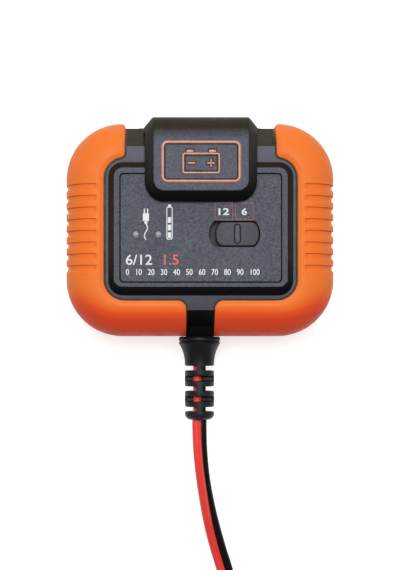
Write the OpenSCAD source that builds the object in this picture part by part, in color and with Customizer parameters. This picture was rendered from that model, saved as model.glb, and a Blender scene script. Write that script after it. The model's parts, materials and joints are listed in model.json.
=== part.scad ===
// Automatic 6/12 V car battery charger: housing in two halves, soft bumpers,
// fold-over hanging hook, slide switch, mains inlet and two-core output lead.
// Lies on its back: +Z comes out of the front, +Y points to the hook, and the
// origin is the middle of the back. All sizes are in millimetres.

/* [Housing] */
// Width over the bumpers
body_w = 112; // [108:1:136]
// Height over the bumpers, hook and lead left out
body_h = 89; // [86:1:110]
// Depth from the back to the front rim
body_d = 40; // [38:0.5:48]
// Radius of the outer corners, seen from the front
corner_r = 23.5; // [20:0.5:27]
// Thickness of the housing's walls
wall = 2.4; // [2:0.1:2.8]
// Height of the parting line between front and rear cover
parting_z = 21; // [20:0.5:23]
// How far the front rim is drawn in from the housing's side
rim_inset = 9.3; // [6:0.1:11]
// Height of the platform above the front rim
platform_rise = 1.6; // [1:0.1:2.4]
// Width of the platform's sloped edge
platform_slope = 2.4; // [1:0.1:3]

/* [Bumpers] */
// How far a bumper stands out from the housing
bumper_t = 1.4; // [1:0.1:2]
// Width of a bumper seen from the front, at the sides
bumper_face_w = 16.1; // [14:0.1:18]
// Width of a bumper seen from the front, at top and bottom
bumper_face_h = 15.4; // [14:0.1:18]
// Corner radius of the window that the bumpers leave
window_r = 8.6; // [8:0.1:12]
// Gap between the bumpers at the top, where the hook folds over
top_gap = 62.4; // [60:0.2:66]
// Gap between the bumpers at the bottom, where the lead leaves
bottom_gap = 11.8; // [11:0.2:14]
// Roundness of the bumpers' front edge
bumper_front_r = 14; // [10:0.5:15]
// Roundness of the bumpers' back edge
bumper_back_r = 12; // [8:0.5:13]
// Corner cut off each bumper's upper end
bumper_end_cut = 1.3; // [0.6:0.1:2]
// Number of grip grooves in each side
groove_n = 8; // [4:1:8]
// Distance from groove to groove
groove_pitch = 4.8; // [4:0.1:5]
// Width of a groove
groove_w = 2.6; // [2:0.1:3.4]
// Depth of a groove
groove_d = 0.9; // [0.5:0.1:1.2]

/* [Hook] */
// Width of the hook
hook_w = 46.1; // [38:0.1:50]
// How far the flap reaches down over the front, from its top
hook_drop = 34.5; // [32:0.1:38]
// How far the hook stands out past the housing's top
hook_over = 2.6; // [1.6:0.1:3]
// Height of the hook's face above the front rim
hook_rise = 7.6; // [7:0.1:9]
// Thickness of the hook's plate
hook_t = 2.5; // [2:0.1:3]
// Radius of the roll between flap and leg
hook_roll_r = 8; // [7:0.1:9]
// Corner radius of the flap's lower end
hook_corner_r = 8; // [6:0.1:10]
// Width of the hook's sloped edge
hook_bevel = 3.6; // [2:0.1:4]
// Diameter of the hinge pin
hook_pin_d = 2.5; // [2:0.1:3]

/* [Switch and lights] */
// Width of the slot that the knob slides in
slot_w = 21; // [20:0.1:24]
// Height of the slot
slot_h = 10.7; // [9:0.1:12]
// Travel of the knob
knob_travel = 2.4; // [2:0.1:3.4]
// Gap round the knob
knob_gap = 0.3; // [0.2:0.05:0.5]
// Diameter of a light's window
lens_d = 3; // [2.5:0.1:4]

/* [Strain relief and lead] */
// Diameter of the strain relief's flange
flange_d = 17.5; // [16:0.1:20]
// Diameter of the strain relief's ribbed body
relief_d = 12.4; // [12:0.1:14]
// Diameter of one core of the lead with its insulation
core_d = 3.5; // [2.8:0.1:3.8]
// Turns in the coil, all layers together
coil_turns = 6.75; // [4.75:1:8.75]
// Radius of the coil's outermost turn
coil_r = 49; // [45:1:60]

/* [Hidden] */
$fn = 48;

// Housing under the bumpers
shell_w = body_w - 2 * bumper_t;
shell_h = body_h - 2 * bumper_t;
shell_r = corner_r - bumper_t;
back_z = 1.4;
side_lo = 14;
side_hi = body_d - 16;
crest_z = body_d + 1.2;
window_w = body_w - 2 * bumper_face_w;
window_h = body_h - 2 * bumper_face_h;
groove_top = 18.4;
platform_w = window_w - 3.6;
platform_h = window_h - 3.8;
platform_r = 6;
platform_z = body_d + platform_rise;

// Inset panel in the platform
panel_margin = 2.2;
panel_gap = 0.5;
panel_t = 0.8;
panel_sunk = 0.4;
panel_r = 1.8;
recess_w = platform_w - 2 * (platform_slope + panel_margin);
recess_h = platform_h - 2 * (platform_slope + panel_margin);
panel_z = platform_z - panel_sunk;
recess_z = panel_z - panel_t;
roof_z = body_d - wall;

// Hook, its channel and its pivot
hook_top = shell_h / 2 + hook_over;
hook_face = body_d + hook_rise;
hook_depth = 5.3;
hook_lift = 0.9;
hook_end = hook_top - hook_drop;
hook_hollow = 3.4;
roll_y = hook_top - hook_roll_r;
roll_z = hook_face - hook_roll_r;
pivot_y = hook_top - 3.3;
pivot_z = parting_z;
knuckle_r = 3.1;
knuckle_in = 12;
knuckle_out = hook_w / 2 - 0.6;
channel_gap = 0.6;
channel_w = hook_w + 2 * channel_gap;
channel_y = pivot_y - knuckle_r - channel_gap;
channel_z = pivot_z - knuckle_r - channel_gap;
pin_run = 0.05;
pin_end = channel_w / 2 + 2;

// Slide switch
slot_x = 13.9;
slot_y = -2.45;
slot_r = 7.4;
knob_w = slot_w - knob_travel - 2 * knob_gap;
knob_h = slot_h - 2 * knob_gap;
knob_x = slot_x + knob_travel / 2;
knob_plate_z = roof_z - 1.2;
knob_plate_t = 1;

// Lights
light_x = [-26.7, -17.4];
light_y = -2.7;

// Circuit board, drawn in from the housing like its cavity
board_t = 1.6;
board_front = roof_z - 5;
board_back = board_front - board_t;
board_w = 86;
board_mid_h = 32;
board_mid_w = 59;
board_h = 58;
board_y = -2;
board_screw_x = 26;
board_screw_y = 24;

// Housing screws
screw_x = 34.5;
screw_y = 23.5;
screw_d = 3;
screw_head_d = 5.6;
boss_d = 8;
head_z = 3;
head_h = 2.4;

// Mains inlet
inlet_w = 19.2;
inlet_h = 11.4;
inlet_z = 9.9;
inlet_depth = 12.5;
inlet_pitch = 8.6;
inlet_pin_d = 2.4;
inlet_tail_d = 2;
inlet_y = shell_h / 2;
inlet_back = inlet_y - inlet_depth - 1.5;

// Strain relief, measured downwards from the housing's bottom
exit_y = -body_h / 2 - 0.15;
relief_z = parting_z;
relief_len = 35.15;
relief_end = exit_y - relief_len;
neck_d = 9.6;
collar_d = 11.6;
collar_t = 1.6;
relief_in = 5.65;
core_turn = 56;
core_gap = 0.05;
notch_in = 1.3;

// ---- shared shapes ----

// Flat rectangle with round corners
module rounded(w, h, r) {
    square([w - 2 * r, h], center = true);
    square([w, h - 2 * r], center = true);
    for (sx = [-1, 1], sy = [-1, 1])
        translate([sx * (w / 2 - r), sy * (h / 2 - r)]) circle(r);
}

// Slab with round corners whose edge follows a profile. The child is the
// profile: x runs outwards from a corner's centre to r, y is height, z0 to z1.
module edged_slab(w, h, r, z0, z1) {
    for (c = [[1, 1, 0], [-1, 1, 90], [-1, -1, 180], [1, -1, 270]])
        translate([c.x * (w / 2 - r), c.y * (h / 2 - r), 0])
            rotate([0, 0, c.z]) rotate_extrude(angle = 90) children();
    rotate([90, 0, 0]) linear_extrude(h - 2 * r, center = true)
        slab_section(w - 2 * r, z0, z1) children();
    rotate([90, 0, 90]) linear_extrude(w - 2 * r, center = true)
        slab_section(h - 2 * r, z0, z1) children();
}

module slab_section(span, z0, z1) {
    translate([-span / 2, z0]) square([span, z1 - z0]);
    for (s = [0, 1])
        mirror([s, 0]) translate([span / 2, 0]) children();
}

// Box from its corner limits
module block(x, y, z) {
    translate([x[0], y[0], z[0]]) cube([x[1] - x[0], y[1] - y[0], z[1] - z[0]]);
}

// Cylinder along X, and along Y
module rod_x(d, x0, x1) {
    translate([x0, 0, 0]) rotate([0, 90, 0]) cylinder(d = d, h = x1 - x0);
}

module rod_y(d, y0, y1) {
    translate([0, y1, 0]) rotate([90, 0, 0]) cylinder(d = d, h = y1 - y0);
}

// ---- housing ----

// Edge of the housing: sloped at the front and at the back
module shell_edge() {
    polygon([
        [0, back_z], [shell_r - rim_inset, back_z], [shell_r, side_lo],
        [shell_r, side_hi], [shell_r - rim_inset, body_d], [0, body_d]
    ]);
}

// The same edge drawn in by the wall
module cavity_edge() {
    front_run = rim_inset / (body_d - side_hi);
    back_run = rim_inset / (side_lo - back_z);
    front_in = wall * sqrt(1 + front_run * front_run);
    back_in = wall * sqrt(1 + back_run * back_run);
    r = shell_r - wall;
    polygon([
        [0, back_z + wall],
        [shell_r - rim_inset + wall * back_run - back_in, back_z + wall],
        [r, side_lo + (back_in - wall) / back_run],
        [r, side_hi - (front_in - wall) / front_run],
        [shell_r - rim_inset + wall * front_run - front_in, roof_z],
        [0, roof_z]
    ]);
}

module shell_solid() {
    edged_slab(shell_w, shell_h, shell_r, back_z, body_d) shell_edge();
}

// Hollow of both covers, with the hook's channel and the inlet left standing
module cavity() {
    difference() {
        edged_slab(shell_w, shell_h, shell_r, back_z + wall, roof_z) cavity_edge();
        side = channel_w / 2 + wall;
        block([-side, side], [channel_y - wall, shell_h], [channel_z - wall, body_d]);
        for (sx = [-1, 1], sy = [-1, 1])
            translate([sx * screw_x, sy * screw_y, 0]) cylinder(d = boss_d, h = body_d);
    }
}

module channel() {
    block([-channel_w / 2, channel_w / 2], [channel_y, body_h], [channel_z, body_d + 5]);
}

// Seat of the hook's pin, half in each cover
module pin_hole() {
    translate([0, pivot_y, pivot_z]) rod_x(hook_pin_d + 0.04, -pin_end - 0.1, pin_end + 0.1);
}

// Hole that the strain relief's neck sits in, half in each cover, and the
// pocket for the collar behind the wall
module gland_hole() {
    translate([0, 0, relief_z]) {
        rod_y(neck_d + 0.2, -body_h, -shell_h / 2 + 2 * wall);
        rod_y(collar_d + 0.2, exit_y + relief_in - collar_t - 0.1, -shell_h / 2 + 3 * wall);
    }
}

// Ring where the rear cover's lip enters the front cover
module lip_ring(outer, inner, h) {
    difference() {
        linear_extrude(h) rounded(shell_w - 2 * outer, shell_h - 2 * outer, shell_r - outer);
        translate([0, 0, -1]) linear_extrude(h + 2)
            rounded(shell_w - 2 * inner, shell_h - 2 * inner, shell_r - inner);
    }
}

lip_h = 1.2;
lip_out = 1.3;

module lip_zone(gap) {
    difference() {
        translate([0, 0, parting_z]) lip_ring(lip_out - gap, wall - 0.2 + gap, lip_h + gap);
        side = channel_w / 2 + 2 * wall - gap;
        block([-side, side], [0, body_h], [0, body_d]);
        side_low = neck_d / 2 + wall - gap;
        block([-side_low, side_low], [-body_h, 0], [0, body_d]);
    }
}

module front_cover() {
    color("dimgray") difference() {
        union() {
            intersection() {
                difference() {
                    shell_solid();
                    cavity();
                }
                block([-body_w, body_w], [-body_h, body_h], [parting_z, body_d + 1]);
            }
            platform();
            for (sx = [-1, 1], sy = [-1, 1])
                translate([sx * board_screw_x, board_y + sy * board_screw_y, board_front])
                    cylinder(d = 6.5, h = roof_z - board_front + 0.5);
        }
        lip_zone(0.1);
        channel();
        gland_hole();
        pin_hole();
        translate([0, 0, recess_z]) linear_extrude(5) rounded(recess_w, recess_h, panel_r);
        translate([0, 0, roof_z - 1]) linear_extrude(6) slot_outline(0);
        for (x = light_x)
            translate([x, light_y, roof_z - 1]) cylinder(d = lens_d + 0.1, h = 6);
        for (sx = [-1, 1], sy = [-1, 1]) {
            translate([sx * screw_x, sy * screw_y, parting_z - 1])
                cylinder(d = screw_d + 0.04, h = 12);
            translate([sx * board_screw_x, board_y + sy * board_screw_y, board_front - 1])
                cylinder(d = 2.04, h = 5);
        }
    }
}

// Raised platform with a sloped edge round the panel
module platform() {
    edged_slab(platform_w, platform_h, platform_r, body_d - 0.5, platform_z)
        polygon([
            [0, body_d - 0.5], [platform_r, body_d - 0.5], [platform_r, body_d],
            [platform_r - platform_slope, platform_z], [0, platform_z]
        ]);
}

module rear_cover() {
    color("dimgray") difference() {
        union() {
            intersection() {
                difference() {
                    shell_solid();
                    cavity();
                }
                block([-body_w, body_w], [-body_h, body_h], [0, parting_z]);
            }
            linear_extrude(back_z + 0.5)
                rounded(window_w - 0.6, window_h - 0.6, window_r - 0.3);
            inlet_boss();
            lip_zone(0);
        }
        channel();
        gland_hole();
        pin_hole();
        inlet_hole();
        for (sx = [-1, 1], sy = [-1, 1])
            translate([sx * screw_x, sy * screw_y, -1]) {
                cylinder(d = screw_d + 0.4, h = parting_z + 3);
                cylinder(d = screw_head_d + 0.8, h = head_z + head_h + 1);
            }
    }
}

// Block of the rear cover round the mains inlet
module inlet_boss() {
    side = inlet_w / 2 + 1.8;
    block([-side, side], [channel_y - wall, inlet_y], [inlet_z - inlet_h / 2 - 1.5, channel_z]);
}

module inlet_hole() {
    side = inlet_w / 2 + 0.1;
    half = inlet_h / 2 + 0.1;
    block([-side, side], [inlet_back - 0.5, body_h], [inlet_z - half, inlet_z + half]);
}

// ---- bumpers ----

module bumper_edge() {
    r = corner_r;
    f = bumper_front_r;
    b = bumper_back_r;
    intersection() {
        square([r, crest_z]);
        union() {
            square([r - f, crest_z]);
            square([r - b, crest_z - f]);
            translate([0, b]) square([r, crest_z - f - b]);
            translate([r - f, crest_z - f]) circle(f);
            translate([r - b, b]) circle(b);
        }
    }
}

// The outer surface drawn in by d, as wide as the grooves are
module groove_band(d) {
    rotate([90, 0, 0]) linear_extrude(groove_w) difference() {
        translate([body_w / 2 - corner_r, 0]) square([corner_r + 1, crest_z]);
        translate([body_w / 2 - corner_r - d, 0]) difference() {
            bumper_edge();
            translate([-1, crest_z - d]) square([corner_r + 2, 5]);
            translate([-1, -1]) square([corner_r + 2, d + 1]);
        }
        translate([0, -1]) square([body_w / 2 - corner_r + 10.6, crest_z + 2]);
    }
}

// Window and gaps that the bumpers leave, with round inner corners
module bumper_opening() {
    rounded(window_w, window_h, window_r);
    translate([-top_gap / 2, 0]) square([top_gap, body_h]);
    translate([-bottom_gap / 2, -body_h]) square([bottom_gap, body_h]);
    for (s = [0, 1])
        mirror([s, 0]) {
            translate([bottom_gap / 2, -window_h / 2]) corner_fillet(2.7);
            translate([top_gap / 2, window_h / 2 - 1.3]) mirror([0, 1]) corner_fillet(4);
            translate([top_gap / 2, body_h / 2]) end_cut(bumper_end_cut);
        }
}

// Rounds off the corner at the origin of what lies right of and below it
module corner_fillet(r) {
    difference() {
        translate([-0.5, -r]) square([r + 0.5, r + 0.5]);
        translate([r, -r]) circle(r);
        translate([r, -r]) square([r, 2 * r]);
    }
}

// Cuts the corner at the origin off what lies right of and below it
module end_cut(c) {
    polygon([[-0.5, 0.5], [-0.5, -c - 0.5], [c + 0.5, 0.5]]);
}

module bumper(side) {
    difference() {
        intersection() {
            edged_slab(body_w, body_h, corner_r, 0, crest_z) bumper_edge();
            block(side > 0 ? [0, body_w] : [-body_w, 0], [-body_h, body_h], [-1, body_d + 5]);
        }
        shell_solid();
        translate([0, 0, -1]) linear_extrude(body_d + 5) bumper_opening();
        for (i = [0 : groove_n - 1])
            mirror([side > 0 ? 0 : 1, 0, 0])
                translate([0, groove_top - i * groove_pitch, 0]) groove_band(groove_d);
    }
}

module bumper_left() {
    color("darkorange") bumper(-1);
}

module bumper_right() {
    color("darkorange") bumper(1);
}

// ---- face panel, lights and switch ----

// Slot for the knob: a flat oval with wide round ends
module slot_outline(gap) {
    translate([slot_x, slot_y]) oval(slot_w - 2 * gap, slot_h - 2 * gap, slot_r - gap);
}

module oval(w, h, r) {
    intersection() {
        square([w, h], center = true);
        union() {
            square([w - 2 * r, h], center = true);
            for (s = [-1, 1])
                translate([s * (w / 2 - r), 0]) circle(r);
        }
    }
}

module face_panel() {
    color("slategray") difference() {
        translate([0, 0, recess_z]) linear_extrude(panel_t)
            rounded(recess_w - 2 * panel_gap, recess_h - 2 * panel_gap, panel_r - panel_gap);
        translate([0, 0, recess_z - 1]) linear_extrude(4) slot_outline(0);
        for (x = light_x)
            translate([x, light_y, recess_z - 1]) cylinder(d = lens_d + 0.1, h = 4);
    }
}

module lens(x) {
    color("lightgray") translate([x, light_y, 0]) {
        translate([0, 0, roof_z - 0.8]) cylinder(d = lens_d + 1.4, h = 0.8);
        translate([0, 0, roof_z - 0.8]) cylinder(d = lens_d, h = panel_z - roof_z + 0.8);
    }
}

module lens_power() {
    lens(light_x[0]);
}

module lens_charge() {
    lens(light_x[1]);
}

// Light-emitting diode standing on the board
module led(x, tint) {
    color(tint) translate([x, light_y, board_front]) {
        cylinder(d = 3.8, h = 1);
        cylinder(d = 3, h = 2.4);
        translate([0, 0, 2.4]) sphere(1.5);
    }
}

module led_power() {
    led(light_x[0], "lime");
}

module led_charge() {
    led(light_x[1], "tomato");
}

module switch_knob() {
    color("gray") difference() {
        translate([knob_x, slot_y, 0]) {
            translate([0, 0, knob_plate_z]) linear_extrude(panel_z - knob_plate_z - 0.2)
                oval(knob_w, knob_h, slot_r - knob_gap);
            translate([-slot_w / 2 - 2.6, -slot_h / 2 - 1.4, knob_plate_z])
                cube([slot_w + 5.2, slot_h + 2.8, knob_plate_t]);
            translate([-2, -1.5, board_front + 1.2])
                cube([4, 3, knob_plate_z - board_front - 1]);
        }
        translate([knob_x, slot_y, panel_z - 0.7]) linear_extrude(2)
            rounded(2.4, 8.4, 1.19);
    }
}

module switch_body() {
    mid_x = knob_x - knob_travel / 2;
    color("silver") difference() {
        translate([mid_x - 7, slot_y - 3.5, board_front]) cube([14, 7, 3]);
        translate([mid_x - 2 - knob_travel / 2 - 0.3, slot_y - 1.8, board_front + 0.8])
            cube([4 + knob_travel + 0.6, 3.6, 5]);
    }
}

// ---- hook ----

// Across the hook: x is width, y is depth from the rim to the face
module hook_section() {
    w = hook_w / 2;
    difference() {
        polygon([
            [-w, 0], [w, 0], [w, hook_lift], [w - hook_bevel, hook_depth],
            [hook_bevel - w, hook_depth], [-w, hook_lift]
        ]);
        translate([hook_hollow - w, -1]) square([hook_w - 2 * hook_hollow, hook_depth - hook_t + 1]);
    }
}

// Flap over the front, with the bevel carried round its lower corners
module hook_flap() {
    reach = 2 * (roll_y - hook_end);
    rim = hook_face - hook_depth;
    r = hook_corner_r;
    intersection() {
        translate([0, roll_y, 0]) difference() {
            edged_slab(hook_w, reach, r, rim, hook_face)
                polygon([
                    [0, rim], [r, rim], [r, rim + hook_lift], [r - hook_bevel, hook_face],
                    [0, hook_face]
                ]);
            translate([0, 0, rim - 1]) linear_extrude(hook_depth - hook_t + 1)
                rounded(hook_w - 2 * hook_hollow, reach - 2 * hook_hollow, r - hook_hollow);
        }
        block([-hook_w, hook_w], [0, roll_y], [0, hook_face + 1]);
    }
}

module hanging_hook() {
    color("dimgray") difference() {
        union() {
            hook_flap();
            translate([0, roll_y, roll_z]) rotate([0, 90, 0]) rotate([0, 0, 90])
                rotate_extrude(angle = 90)
                    translate([hook_roll_r - hook_depth, 0]) rotate(-90) hook_section();
            translate([0, hook_top - hook_depth, pivot_z])
                linear_extrude(roll_z - pivot_z) hook_section();
            translate([0, pivot_y, pivot_z]) {
                rod_x(2 * knuckle_r, knuckle_in, knuckle_out);
                rod_x(2 * knuckle_r, -knuckle_out, -knuckle_in);
            }
        }
        translate([0, pivot_y, pivot_z])
            rod_x(hook_pin_d + 2 * pin_run, -hook_w, hook_w);
    }
}

module hook_pin() {
    color("silver") translate([0, pivot_y, pivot_z]) rod_x(hook_pin_d, -pin_end, pin_end);
}

badge_w = 32.6;
badge_h = 17;
badge_y = hook_end + 15.4;
badge_line = 1.1;
badge_t = 0.45;

// Frame with a plain battery sign in it
module hook_badge() {
    color("orange") translate([0, badge_y, hook_face]) linear_extrude(badge_t) {
        frame_outline(badge_w, badge_h, 2.4, badge_line);
        translate([0, -0.7]) {
            frame_outline(16, 9, 1.2, 0.9);
            for (s = [-1, 1])
                translate([s * 4.6, 5.25]) square([3, 1.1], center = true);
            translate([-4, 0]) square([3.4, 0.9], center = true);
            translate([4, 0]) square([3.4, 0.9], center = true);
            translate([4, 0]) square([0.9, 3.4], center = true);
        }
    }
}

module frame_outline(w, h, r, line) {
    difference() {
        rounded(w, h, r);
        rounded(w - 2 * line, h - 2 * line, r - line);
    }
}

// ---- mains inlet ----

module inlet_socket() {
    color("black") difference() {
        union() {
            block([-inlet_w / 2, inlet_w / 2], [inlet_back, inlet_y],
                [inlet_z - inlet_h / 2, inlet_z + inlet_h / 2]);
            block([-inlet_w / 2 - 1.5, inlet_w / 2 + 1.5],
                [channel_y - wall - 1.2, channel_y - wall],
                [inlet_z - 1.6, inlet_z + inlet_h / 2 + 1]);
        }
        translate([0, inlet_y + 1, inlet_z]) rotate([90, 0, 0]) linear_extrude(inlet_depth + 1) {
            for (s = [-1, 1])
                translate([s * (inlet_pitch / 2 - 0.35), 0]) circle(4.35);
            square([inlet_pitch, 7.6], center = true);
        }
        for (s = [-1, 1])
            translate([s * inlet_pitch / 2, 0, inlet_z])
                rod_y(inlet_tail_d + 0.04, inlet_back - 1, inlet_back + 3);
    }
}

module inlet_pins() {
    color("silver") for (s = [-1, 1])
        translate([s * inlet_pitch / 2, 0, inlet_z]) {
            rod_y(inlet_pin_d, inlet_y - inlet_depth, inlet_y - 2);
            rod_y(inlet_tail_d, inlet_back - 3.5, inlet_y - inlet_depth + 1);
        }
}

// Stiff wires from the inlet's pins up to the board
module mains_wires() {
    wire_y = inlet_back - 2;
    color("sienna") for (s = [-1, 1])
        difference() {
            translate([s * inlet_pitch / 2, wire_y, inlet_z])
                cylinder(d = 1.8, h = board_back - inlet_z);
            translate([s * inlet_pitch / 2, 0, inlet_z])
                rod_y(inlet_tail_d + 0.04, 0, inlet_y);
        }
}

// ---- circuit board and what hangs from it ----

module circuit_board() {
    color("seagreen") difference() {
        translate([0, board_y, board_back]) {
            block([-board_w / 2, board_w / 2], [-board_mid_h / 2, board_mid_h / 2], [0, board_t]);
            block([-board_mid_w / 2, board_mid_w / 2], [-board_h / 2, board_h / 2], [0, board_t]);
        }
        for (sx = [-1, 1], sy = [-1, 1])
            translate([sx * board_screw_x, board_y + sy * board_screw_y, board_back - 1])
                cylinder(d = 2.4, h = board_t + 2);
    }
}

module board_screws() {
    color("silver") for (sx = [-1, 1], sy = [-1, 1])
        translate([sx * board_screw_x, board_y + sy * board_screw_y, 0]) {
            translate([0, 0, board_back - 1.6]) cylinder(d = 4.6, h = 1.6);
            translate([0, 0, board_back]) cylinder(d = 2, h = board_t + 3.5);
        }
}

module case_screws() {
    color("silver") for (sx = [-1, 1], sy = [-1, 1])
        translate([sx * screw_x, sy * screw_y, head_z])
            difference() {
                union() {
                    cylinder(d = screw_head_d, h = head_h);
                    cylinder(d = screw_d, h = parting_z + 8 - head_z);
                }
                cylinder(d = 2, h = 3.2, center = true);
            }
}

core_x = 12;
core_y = -2;
core_w = 26;
core_tall = 18;
core_deep = 9;
core_low = board_back - 22;
leg_w = 7;
yoke = 2.6;

// Two E-shaped ferrites that meet round the bobbin
module transformer_core() {
    window = (core_w - 2 * leg_w / 2 - leg_w) / 2;
    color("dimgray") translate([core_x, core_y, core_low])
        rotate([90, 0, 0]) linear_extrude(core_deep, center = true) difference() {
            translate([-core_w / 2, 0]) square([core_w, core_tall]);
            for (s = [0, 1])
                mirror([s, 0]) translate([leg_w / 2, yoke])
                    square([window, core_tall - 2 * yoke]);
        }
}

module around_leg(grow, z0, z1, gap) {
    difference() {
        translate([0, 0, z0]) linear_extrude(z1 - z0)
            square([leg_w + 2 * grow, core_deep + 2 * grow], center = true);
        translate([0, 0, z0 - 1]) linear_extrude(z1 - z0 + 2)
            square([leg_w + 2 * gap, core_deep + 2 * gap], center = true);
    }
}

module transformer_bobbin() {
    inner_lo = core_low + yoke + 0.1;
    inner_hi = core_low + core_tall - yoke - 0.1;
    color("ivory") translate([core_x, core_y, 0]) {
        around_leg(1, inner_lo, inner_hi, 0.1);
        around_leg(5.6, inner_lo, inner_lo + 1, 0.1);
        around_leg(5.6, inner_hi - 1, inner_hi, 0.1);
        for (s = [-1, 1])
            translate([-leg_w / 2 - 5, s * (core_deep / 2 + 2.9) - 2.7, inner_hi - 0.5])
                cube([leg_w + 10, 5.4, board_back - inner_hi + 0.5]);
    }
}

module transformer_winding() {
    inner_lo = core_low + yoke + 1.2;
    inner_hi = core_low + core_tall - yoke - 1.2;
    color("goldenrod") translate([core_x, core_y, 0])
        around_leg(4.8, inner_lo, inner_hi, 1.1);
}

module can(d, h, tint) {
    color(tint) translate([0, 0, board_back - h]) cylinder(d = d, h = h);
}

module input_capacitor() {
    translate([-14, -6, 0]) can(12.5, 20, "midnightblue");
}

module output_capacitors() {
    for (y = [-9, 0.5])
        translate([34, y, 0]) can(8, 14, "black");
}

// Ring core with two windings
module filter_choke() {
    color("olive") translate([-33, 5, board_back - 8]) rotate([90, 0, 0]) {
        rotate_extrude() translate([4, -2.5]) square([3.4, 5]);
        for (a = [-40, 140])
            rotate([0, 0, a]) rotate_extrude(angle = 80) translate([3.4, -3.1]) square([4.6, 6.2]);
    }
}

module fuse() {
    color("beige") translate([-15, 20, board_back - 3]) {
        rod_x(5.2, -7.5, 7.5);
        for (s = [-1, 1])
            translate([s * 5.5, 0, 1.5]) cylinder(d = 3, h = 1.5);
    }
}

module bridge_rectifier() {
    color("black") translate([-28, -14, board_back - 3.4])
        translate([-4.5, -3.2, 0]) cube([9, 6.4, 3.4]);
}

module safety_capacitor() {
    color("gold") translate([-21, 12.5, board_back - 11])
        translate([-6.5, -3, 0]) cube([13, 6, 11]);
}

sink_y = -20;
sink_t = 1.6;

// Bent plate with two tabs that stand in the board
module heat_sink() {
    color("silver") {
        block([-16, 24], [sink_y, sink_y + sink_t], [board_back - 19, board_back - 1]);
        for (x = [-13, 19])
            block([x - 1.5, x + 1.5], [sink_y, sink_y + sink_t], [board_back - 1, board_back]);
    }
}

module flat_pack(x, tint) {
    color(tint) {
        block([x - 5, x + 5], [sink_y - 4.4, sink_y], [board_back - 15, board_back - 6]);
        for (s = [-2.5, 0, 2.5])
            translate([x + s, sink_y - 2.6, board_back - 6]) cylinder(d = 0.9, h = 6);
    }
}

module switch_transistor() {
    flat_pack(-9, "black");
}

module output_diode() {
    flat_pack(15, "black");
}

module control_chips() {
    color("black") {
        block([20, 26.5], [9, 18], [board_back - 3.2, board_back]);
        block([8, 14], [13, 17.5], [board_back - 3.2, board_back]);
    }
}

// ---- strain relief ----

taper_end = 11.65;
taper_r = 16.45;
notch_first = 13.35;
notch_pitch = 8.65;
notch_h = 1.9;
core_off = core_d / 2 + 0.03;

// Places its children along the lead's exit: Z runs down out of the housing
module at_exit() {
    translate([0, exit_y, relief_z]) rotate([90, 0, 0]) children();
}

// Side of the pair that the positive core lies on, seen along the exit
function core_at(s) = [s * core_off * cos(core_turn), -s * core_off * sin(core_turn)];

module relief_profile() {
    r = relief_d / 2;
    round_r = 2.6;
    translate([0, -relief_in]) square([collar_d / 2, collar_t]);
    translate([0, -relief_in + 0.5]) square([neck_d / 2, relief_in]);
    translate([0, -1.4]) square([neck_d / 2 + 0.8, 1.6]);
    square([flange_d / 2, 2.25]);
    difference() {
        translate([0, 2]) square([flange_d / 2, taper_end - 2]);
        translate([r + taper_r, taper_end]) circle(taper_r, $fn = 96);
    }
    translate([0, taper_end - 1]) square([r, relief_len - taper_end + 1 - round_r]);
    square([r - round_r, relief_len]);
    translate([r - round_r, relief_len - round_r]) circle(round_r);
}

module strain_relief() {
    color("#202124") at_exit() difference() {
        rotate_extrude() intersection() {
            relief_profile();
            translate([0, -20]) square([20, 80]);
        }
        for (s = [-1, 1])
            translate([core_at(s).x, core_at(s).y, -relief_in - 1])
                cylinder(d = core_d + 2 * core_gap, h = relief_len + relief_in + 2);
        for (i = [0 : 2], s = [0, 1])
            mirror([s, 0, 0])
                translate([notch_in, -relief_d, notch_first + i * notch_pitch - notch_h / 2])
                    cube([relief_d, 2 * relief_d, notch_h]);
        for (i = [0 : 1], s = [0, 1])
            mirror([0, s, 0])
                translate([-relief_d, notch_in, notch_first + (i + 0.5) * notch_pitch - notch_h / 2])
                    cube([2 * relief_d, relief_d, notch_h + 0.3]);
    }
}

// One core of the lead: through the relief, then up to the board
module core(s, rise_y, tint) {
    bend = 4;
    x = core_at(s).x;
    z = relief_z + core_at(s).y;
    color(tint) translate([x, 0, z]) {
        rod_y(core_d, relief_end, rise_y - bend);
        translate([0, rise_y - bend, bend]) rotate([0, 90, 0])
            rotate_extrude(angle = 90) translate([bend, 0]) circle(core_d / 2);
        translate([0, rise_y, bend]) cylinder(d = core_d, h = board_back - z - bend);
    }
}

module core_positive() {
    core(-1, -29.2, "red");
}

module core_negative() {
    core(1, -25.2, "#202020");
}

// ---- lead ----

// Middle of the lead from the relief to where the coil starts
lead_route = [
    [0, -79.8, 21], [0, -84, 21], [0.3, -92, 20.6], [1.1, -101, 19.2],
    [2.4, -110, 16.4], [4.1, -119, 12.5], [6.2, -128, 8.2], [8.7, -137, 4.6],
    [10.9, -144, 2.7], [12.9, -151, 1.8], [14.6, -158, 1.8]
];
// How far the pair is turned on its way, in degrees
lead_turn = [56, 56, 54, 48, 38, 26, 14, 5, 1, 0, 0];
lead_d = core_d;
lead_w = 2 * core_d;

function unit(v) = v / norm(v);
function tangent(path, i) =
    unit(path[min(i + 1, len(path) - 1)] - path[max(i - 1, 0)]);

// Outline across the bonded pair: two round lobes and a waist
pair_outline = [
    for (s = [1, -1])
        each concat(
            [for (a = [-80 : 40 : 80]) s * (core_d / 2) * [1 + cos(a), sin(a)]],
            [s * [0, core_d * 0.29]]
        )
];
flat_outline = [
    for (p = [[2, 0], [1, 1], [-1, 1], [-2, 0], [-1, -1], [1, -1]]) p * core_d / 2
];

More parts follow.
